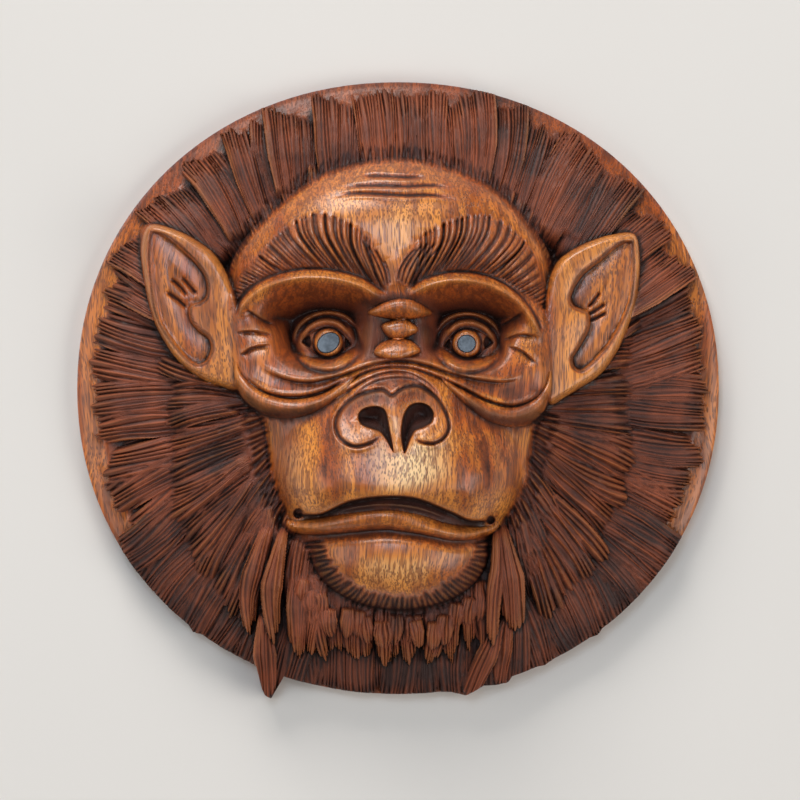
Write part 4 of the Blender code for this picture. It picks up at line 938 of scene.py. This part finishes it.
# Where the wood of the face is dark or pale: path, half width and how dark, or below zero how pale. The last
# two pale bands are painted highlights
WOOD_AND_LIT_BANDS = (
    ([(-35, -10), (-34, -26), (-35, -42), (-31, -56)], 4.0, 0.7),
    ([(-22, -27), (-19, -40), (-17, -52)], 2.5, 0.4),
    ([(28, -6), (38, -20), (44, -38), (44, -58)], 2.6, 0.95),
    ([(34, -8), (50, -24), (53, -44)], 2.0, 0.6),
    ([(24, -30), (33, -40), (36, -56)], 5.0, 0.45),
    ([(62, -22), (58, -38), (52, -56)], 9.0, 0.4),
    ([(24, -82), (26, -90), (14, -98)], 7.0, 0.35),
    ([(-26, -82), (0, -80), (26, -84)], 6.0, 0.35),
    ([(-72, 2), (-78, 30), (-74, 52)], 5.0, 0.25),
    ([(72, 2), (75, 30), (70, 52)], 5.0, 0.3),
    ([(6, -22), (8, -38), (12, -52)], 15.0, -1.0),
    ([(-3, -14), (-2, -24)], 4.0, -0.7),
    ([(-24, -86), (0, -88), (24, -86)], 7.0, -0.4),
    ([(-4, 90), (2, 72), (1, 62)], 10.0, -0.25),
    # Painted highlights: a lit patch on the right bag, and the lit left cheek
    ([(40, -1), (45, -6), (50, -10)], 4.0, -0.6),
    ([(-50, -24), (-52, -44), (-46, -56)], 7.0, -0.15),
)
BAND_ENDS, BAND_TONE = 0.3, 0.2


def colour_wood(relief):
    for points, half_width, stain_and_shade in WOOD_AND_LIT_BANDS:
        chosen, distance, along, _ = relief.beside(curve_through(points), 3.0 * half_width)
        share = abs(stain_and_shade) * np.exp(-(distance / half_width) ** 2) * fading(along, BAND_ENDS)
        relief.stain_and_shade[chosen] += (math.copysign(1.0, stain_and_shade) - relief.stain_and_shade[chosen]) * share
        relief.tone[chosen] += (BAND_TONE - relief.tone[chosen]) * share


CARVING = (carve_disc, carve_hair, carve_ears, carve_head, colour_wood, carve_brows, carve_brow_hair,
           carve_eyes, carve_bridge, carve_folds, carve_nose, carve_mouth, carve_wrinkles, carve_fringe,
           carve_mouth_locks)


# The grid and the solid made from it: the values kept on its points, how far round each point its hollows
# are measured in steps of the grid, how much the wide ones count beside the close, over what widths inside
# the rim they all count less, and from what angle an edge is sharp
POINT_VALUES = ("stain_and_shade", "tone", "strokes", "hollow", "deep")
CLOSE_REACH, WIDE_REACH, DEEP_REACH, WIDE_SHARE = 2, 7, 32, 0.5
DEEP_INSET, CLOSE_INSET, RIM_HOLLOW = (5.0, 25.0), (3.0, 16.0), 0.3
SHARP_EDGE = 50.0


def hollows(heights, reach):
    """How far each point of a square grid of heights lies below the mean around it."""
    mean = heights
    for axis in (0, 1, 0, 1):
        edges = [(reach + 1, reach) if k == axis else (0, 0) for k in (0, 1)]
        total = np.cumsum(np.pad(mean, edges, mode="edge"), axis=axis)
        places = np.arange(mean.shape[axis])
        mean = (np.take(total, places + 2 * reach + 1, axis) - np.take(total, places, axis)) / (2 * reach + 1)
    return mean - heights


def select_only(piece):
    bpy.ops.object.select_all(action="DESELECT")
    piece.select_set(True)
    bpy.context.view_layer.objects.active = piece


def keep_on_points(mesh, name, values):
    layer = mesh.attributes.new(name, "FLOAT", "POINT")
    layer.data.foreach_set("value", values.astype(np.float32))


def carved_grid():
    """A square grid drawn out to the disc and lifted to the carving, with values kept on its points."""
    bpy.ops.mesh.primitive_grid_add(x_subdivisions=GRID_STEPS, y_subdivisions=GRID_STEPS, size=2.0)
    grid = bpy.context.object
    mesh = grid.data
    places = np.empty(len(mesh.vertices) * 3, np.float32)
    mesh.vertices.foreach_get("co", places)
    x, y = places.reshape(-1, 3).astype(float).T[:2]
    across, up = x * np.sqrt(1.0 - y * y / 2.0), y * np.sqrt(1.0 - x * x / 2.0)
    reach = rim_radius(np.arctan2(up, across), np.hypot(across, up))
    relief = Relief(across * reach, up * reach)
    for step in CARVING:
        step(relief)
    relief.z = np.minimum(relief.z, TOP)
    mesh.vertices.foreach_set("co", (np.stack([relief.x, relief.y, relief.z], axis=1) * MM).ravel())

    rows = np.lexsort((np.round(x, 5), np.round(y, 5)))
    heights = relief.z[rows].reshape(GRID_STEPS + 1, GRID_STEPS + 1)
    hollow, deep = np.empty_like(relief.z), np.empty_like(relief.z)
    hollow[rows] = (hollows(heights, CLOSE_REACH) + WIDE_SHARE * hollows(heights, WIDE_REACH)).ravel()
    deep[rows] = hollows(heights, DEEP_REACH).ravel()
    inset = reach * (1.0 - np.hypot(across, up))
    deep *= blend_step(*DEEP_INSET, inset)
    hollow *= RIM_HOLLOW + (1.0 - RIM_HOLLOW) * blend_step(*CLOSE_INSET, inset)
    kept = (relief.stain_and_shade, relief.tone, relief.strokes, hollow, deep)
    for name, values in zip(POINT_VALUES, kept, strict=True):
        keep_on_points(mesh, name, values)
    return grid


def close_back(grid):
    """Draws the rim straight down to the back and fills it."""
    select_only(grid)
    bpy.ops.object.mode_set(mode="EDIT")
    bpy.ops.mesh.select_mode(type="EDGE")
    bpy.ops.mesh.select_all(action="DESELECT")
    bpy.ops.mesh.select_non_manifold()
    bpy.ops.mesh.extrude_edges_indiv()
    bpy.ops.transform.resize(value=(1.0, 1.0, 0.0), center_override=(0.0, 0.0, 0.0))
    bpy.ops.mesh.edge_face_add()
    bpy.ops.mesh.select_all(action="SELECT")
    bpy.ops.mesh.normals_make_consistent(inside=False)
    bpy.ops.object.mode_set(mode="OBJECT")


def plug(x, y, low, high, length, width, lean=0.0):
    """A round or oval plug in millimetres, standing from one level to another, to cut with."""
    bpy.ops.mesh.primitive_cylinder_add(vertices=ROUND_SIDES, radius=0.5, depth=1.0)
    cutter = bpy.context.object
    cutter.scale = np.array((length, width, high - low)) * MM
    cutter.rotation_euler.z = math.radians(lean)
    cutter.location = np.array((x, y, (low + high) / 2)) * MM
    return cutter


def cut_away(piece, cutter):
    boolean = piece.modifiers.new("cut", "BOOLEAN")
    boolean.operation = "DIFFERENCE"
    boolean.object = cutter
    select_only(piece)
    bpy.ops.object.modifier_apply(modifier=boolean.name)
    bpy.data.objects.remove(cutter)


def carve_mask():
    mask = carved_grid()
    close_back(mask)
    mask.name = "carved_mask"
    fewer = mask.modifiers.new("fewer faces", "DECIMATE")
    fewer.ratio = MASK_TRIANGLES / (2 * GRID_STEPS ** 2 + 12 * GRID_STEPS)
    select_only(mask)
    bpy.ops.object.modifier_apply(modifier=fewer.name)
    for name, (length, width, lean, _) in PUPILS.items():
        low, high = (np.array(corner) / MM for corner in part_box(name))
        x, y, _ = (low + high) / 2
        gap = 2 * PUPIL_CLEARANCE
        cut_away(mask, plug(x, y, low[2] - PUPIL_CLEARANCE, TOP, length + gap, width + gap, lean))
    cut_away(mask, plug(*HOLE_PLACE, -HOLE_DEPTH, HOLE_DEPTH, HOLE_DIAMETER, HOLE_DIAMETER))
    select_only(mask)
    bpy.ops.object.shade_smooth_by_angle(angle=math.radians(SHARP_EDGE))
    return mask


def colour(code):
    """An sRGB hex colour as linear values."""
    shares = [int(code[k:k + 2], 16) / 255 for k in (0, 2, 4)]
    return (*(s / 12.92 if s <= 0.04045 else ((s + 0.055) / 1.055) ** 2.4 for s in shares), 1.0)


def add(tree, kind, inputs=None, output=0, **settings):
    """Adds a node with its settings, sets or links its inputs, and gives one of its outputs."""
    node = tree.nodes.new(kind)
    for name, value in settings.items():
        setattr(node, name, value)
    for name, value in (inputs or {}).items():
        if isinstance(value, bpy.types.NodeSocket):
            tree.links.new(value, node.inputs[name])
        else:
            node.inputs[name].default_value = value
    return node.outputs[output]


def new_material(name):
    material = bpy.data.materials.new(name)
    material.use_nodes = True
    return material, material.node_tree, material.node_tree.nodes["Principled BSDF"]


RANGE, MIX, MATH = "ShaderNodeMapRange", "ShaderNodeMix", "ShaderNodeMath"
NOISE, MAPPING, PLACES = "ShaderNodeTexNoise", "ShaderNodeMapping", "ShaderNodeTexCoord"
FACTOR, FIRST, SECOND, MIXED = 0, 6, 7, 2

# Sizes of the wood's patterns in millimetres, across, along and through the grain: growth bands, dark streaks
# in the stained skin, fibres and the cells with one pore in each. Then the waves that bend them and how far,
# patches in the stain of the hair, and the depth of the finest grooves
BANDS, STREAKS = (12.5, 250.0, 25.0), (2.381, 125.0, 5.0)
FIBRES, PORES = (1.25, 20.0, 2.0), (0.7692, 9.524, 0.7692)
WAVES, BENT, PATCHES, FINE_DEPTH = 83.33, (30.0, 0.0, 30.0), 16.67, 0.4

# Sizes of the clouds in the glass and in the floor's paint, in millimetres
GLASS_CLOUDS, FLOOR_CLOUDS = 2.857, 333.3


def per_metre(*sizes):
    """The scales that give a pattern its sizes in millimetres."""
    return tuple(1.0 / (size * MM) for size in sizes)


def lacquered_wood():
    """Rain tree wood, carved, stained and satin lacquered, with its grain up the face.

    The eye sees dark bands and streaks, fine fibre and open pores, red-brown and patchy staining in the hair,
    a honey-coloured skin, dark cuts, painted shade in the hollows, sockets and folds, painted highlights on
    raised edges and two pale patches, and soft broad highlights on all that isn't cut or stained.
    """
    material, tree, shader = new_material("lacquered rain tree wood")
    place = add(tree, PLACES, output="Object")
    stain_and_shade, tone, strokes, hollow, deep = (add(tree, "ShaderNodeAttribute", output="Fac", attribute_name=name)
                                          for name in POINT_VALUES)

    # The grain: bands, streaks and fibres, all bent by slow waves
    wave = add(tree, NOISE, {"Vector": place, "Scale": 1.0 / (WAVES * MM), "Detail": 1.0}, "Color")
    bend = tuple(distance * MM for distance in BENT)
    bent = add(tree, "ShaderNodeVectorMath", {0: wave, 1: bend, 2: place}, operation="MULTIPLY_ADD")
    grain = []
    for sizes, detail in ((BANDS, 3.0), (STREAKS, 2.0), (FIBRES, 1.0)):
        stretched = add(tree, MAPPING, {"Vector": bent, "Scale": per_metre(*sizes)})
        grain.append(add(tree, NOISE, {"Vector": stretched, "Scale": 1.0, "Detail": detail}))
    broad, streak, fibre = grain

    # Pores about 0.5 mm wide and 5 mm long, as coarse as they need to be to show
    stretched = add(tree, MAPPING, {"Vector": bent, "Scale": per_metre(*PORES)})
    from_pore = add(tree, "ShaderNodeTexVoronoi", {"Vector": stretched, "Scale": 1.0})
    pore = add(tree, RANGE, {"Value": from_pore, "From Min": 0.42, "From Max": 0.24})

    # The skin: honey-coloured, darker in the growth bands and nearly gold where the wood is pale and on the
    # two painted highlights
    band = add(tree, RANGE, {"Value": broad, "From Min": 0.40, "From Max": 0.66})
    pale = add(tree, RANGE, {"Value": stain_and_shade, "From Min": 0.0, "From Max": -1.0})
    flushed = add(tree, RANGE, {"Value": stain_and_shade, "From Max": 0.5, "To Max": 0.85})
    streak = add(tree, RANGE, {"Value": streak, "From Min": 0.48, "From Max": 0.6, "To Max": 0.85})
    streaked = add(tree, MATH, {0: streak, 1: flushed}, operation="MULTIPLY")
    fibre_dark = add(tree, RANGE, {"Value": fibre, "From Min": 0.49, "From Max": 0.57, "To Max": 0.65})
    pore_dark = add(tree, MATH, {0: pore, 1: 0.75}, operation="MULTIPLY")
    skin = colour("E08C38")
    for share, code in ((band, "984A16"), (pale, "F0C68C"), (flushed, "B2521A"), (streaked, "4A1E0C"),
                        (fibre_dark, "74391A"), (pore_dark, "4A220E")):
        skin = add(tree, MIX, {FACTOR: share, FIRST: skin, SECOND: colour(code)}, MIXED, data_type="RGBA")

    # The hair: a tone for each strand and for patches of it, and fine strokes along the strands
    turn = add(tree, MATH, {0: strokes, 1: math.tau}, operation="MULTIPLY")
    stroke = add(tree, MATH, {0: turn}, operation="SINE")
    patch = add(tree, NOISE, {"Vector": place, "Scale": 1.0 / (PATCHES * MM), "Detail": 2.0})
    patch = add(tree, RANGE, {"Value": patch, "From Min": 0.35, "From Max": 0.65, "To Min": -0.22,
                              "To Max": 0.28})
    light = add(tree, MATH, {0: tone, 1: patch}, operation="ADD", use_clamp=True)
    stroke_dark = add(tree, RANGE, {"Value": stroke, "From Min": -0.2, "From Max": 1.0, "To Max": 0.55})
    hair = colour("2A0F08")
    for share, code in ((light, "8E4526"), (stroke_dark, "3A180C")):
        hair = add(tree, MIX, {FACTOR: share, FIRST: hair, SECOND: colour(code)}, MIXED, data_type="RGBA")
    # The hair's colour also takes over where painted shade darkens the sockets, the bridge and the folds
    stained = add(tree, RANGE, {"Value": stain_and_shade, "From Min": 0.4})
    wood = add(tree, MIX, {FACTOR: stained, FIRST: skin, SECOND: hair}, MIXED, data_type="RGBA")

    # Painted shade with the stain left in the hollows, wide and narrow, and wear with a painted highlight on
    # the raised edges
    sunk = add(tree, RANGE, {"Value": deep, "From Min": 1.0, "From Max": 11.0, "To Max": 0.7})
    holds = add(tree, RANGE, {"Value": stain_and_shade, "From Max": 0.6, "To Min": 0.1})
    sunk = add(tree, MATH, {0: sunk, 1: holds}, operation="MULTIPLY")
    cut = add(tree, RANGE, {"Value": hollow, "From Min": 0.1, "From Max": 1.8, "To Max": 0.92})
    worn_and_lit = add(tree, RANGE, {"Value": hollow, "From Min": -0.2, "From Max": -1.4, "To Max": 0.4})
    bare = add(tree, RANGE, {"Value": stain_and_shade, "To Min": 1.0, "To Max": 0.5})
    worn_and_lit = add(tree, MATH, {0: worn_and_lit, 1: bare}, operation="MULTIPLY")
    for share, code in ((sunk, "5E200C"), (cut, "220E07"), (worn_and_lit, "C9803E")):
        wood = add(tree, MIX, {FACTOR: share, FIRST: wood, SECOND: colour(code)}, MIXED, data_type="RGBA")
    tree.links.new(wood, shader.inputs["Base Color"])

    # The finest grooves are the pores, the fibre and the strokes
    stroke_cut = add(tree, MATH, {0: stroke, 1: stained}, operation="MULTIPLY")
    grooves = add(tree, MATH, {0: pore, 1: -1.0, 2: fibre}, operation="MULTIPLY_ADD")
    grooves = add(tree, MATH, {0: stroke_cut, 1: -0.9, 2: grooves}, operation="MULTIPLY_ADD")
    bump = add(tree, "ShaderNodeBump", {"Height": grooves, "Strength": 0.4, "Distance": FINE_DEPTH * MM})
    tree.links.new(bump, shader.inputs["Normal"])

    # The lacquer lies thick and satin on the skin, and thin and dull in the hair and the cuts
    rough = add(tree, RANGE, {"Value": stained, "To Min": 0.34, "To Max": 0.6})
    tree.links.new(rough, shader.inputs["Roughness"])
    dull = add(tree, MATH, {0: stained, 1: cut}, operation="MAXIMUM")
    lacquer = add(tree, RANGE, {"Value": dull, "From Max": 0.6, "To Min": 0.6, "To Max": 0.08})
    tree.links.new(lacquer, shader.inputs["Coat Weight"])
    shader.inputs["Coat Roughness"].default_value = 0.3
    shader.inputs["IOR"].default_value = 1.5
    shader.inputs["Specular IOR Level"].default_value = 0.4
    return material


def glass_with_painted_reflection():
    """Polished glass, grey as a painted sky reflection: a cool, slightly cloudy disc with a small clear
    highlight.
    """
    material, tree, shader = new_material("polished glass with painted reflection")
    place = add(tree, PLACES, output="Object")
    cloud = add(tree, NOISE, {"Vector": place, "Scale": 1.0 / (GLASS_CLOUDS * MM), "Detail": 3.0})
    share = add(tree, RANGE, {"Value": cloud, "From Min": 0.35, "From Max": 0.65})
    shade = add(tree, MIX, {FACTOR: share, FIRST: colour("454C54"), SECOND: colour("66707A")}, MIXED,
                data_type="RGBA")
    tree.links.new(shade, shader.inputs["Base Color"])
    shader.inputs["Roughness"].default_value = 0.25
    shader.inputs["IOR"].default_value = 1.5
    return material


def matt_floor():
    """Painted board, matt, which gives the eye an even pale ground with hardly a cloud in it."""
    material, tree, shader = new_material("pale matt board")
    place = add(tree, PLACES, output="Object")
    cloud = add(tree, NOISE, {"Vector": place, "Scale": 1.0 / (FLOOR_CLOUDS * MM), "Detail": 2.0})
    shade = add(tree, MIX, {FACTOR: cloud, FIRST: colour("DDD8D2"), SECOND: colour("D6D1CB")}, MIXED,
                data_type="RGBA")
    tree.links.new(shade, shader.inputs["Base Color"])
    shader.inputs["Roughness"].default_value = 0.9
    return material


# The floor's side in metres, and the gap under the mask that keeps the two faces apart
FLOOR_SIZE, FLOOR_GAP = 12.0, 0.0003


def lay_floor():
    bpy.ops.mesh.primitive_plane_add(size=FLOOR_SIZE, location=(0.0, 0.0, -FLOOR_GAP))
    floor = bpy.context.object
    floor.name = "floor"
    floor.data.materials.append(matt_floor())


# The lamps: where each stands and its side in metres, its power in watts and its tint. Then the pale room
LAMPS = {
    "window": ((-0.4, 0.65, 3.1), 0.9, 25.0, (0.66, 0.83, 1.0)),
    "skylight": ((-0.9, 3.6, 1.9), 2.2, 150.0, (1.0, 0.97, 0.94)),
    "side window": ((-3.4, -0.4, 2.3), 3.2, 52.0, (1.0, 0.96, 0.92)),
    "far window": ((2.8, -1.0, 2.8), 3.0, 82.0, (1.0, 0.96, 0.92)),
}
ROOM_TINT, ROOM_STRENGTH = (0.92, 0.96, 1.0, 1.0), 0.15


def soft_light(name, place, size, power, tint):
    """A square lamp that faces the mask."""
    bpy.ops.object.light_add(type="AREA", location=place)
    lamp = bpy.context.object
    lamp.name = name
    lamp.rotation_euler = (-Vector(place)).to_track_quat("-Z", "Y").to_euler()
    lamp.data.size = size
    lamp.data.energy = power
    lamp.data.color = tint


def light_scene():
    world = bpy.data.worlds.new("pale room")
    world.use_nodes = True
    room = world.node_tree.nodes["Background"]
    room.inputs["Color"].default_value = ROOM_TINT
    room.inputs["Strength"].default_value = ROOM_STRENGTH
    bpy.context.scene.world = world
    for name, lamp in LAMPS.items():
        soft_light(name, *lamp)


# The photograph's view: straight down, 400 mm of the floor across the picture, on a sensor 36 mm wide
CAMERA_HEIGHT, VIEW_WIDTH, VIEW_CENTRE, SENSOR = 4.0, 0.4, (0.001, -0.006), 36.0


def place_camera():
    bpy.ops.object.camera_add(location=(*VIEW_CENTRE, CAMERA_HEIGHT), rotation=(0.0, 0.0, 0.0))
    camera = bpy.context.object
    camera.data.sensor_width = SENSOR
    camera.data.lens = SENSOR * CAMERA_HEIGHT / VIEW_WIDTH
    bpy.context.scene.camera = camera


mask = carve_mask()
mask.data.materials.clear()
mask.data.materials.append(lacquered_wood())
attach(mask, "root")
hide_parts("mask")

# The pupils' grey is a painted reflection of a bright sky
glass = glass_with_painted_reflection()
for name in PUPILS:
    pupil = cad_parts[name]
    pupil.data.materials.clear()
    pupil.data.materials.append(glass)

lay_floor()
light_scene()
place_camera()
bpy.context.scene.view_settings.view_transform = "Standard"
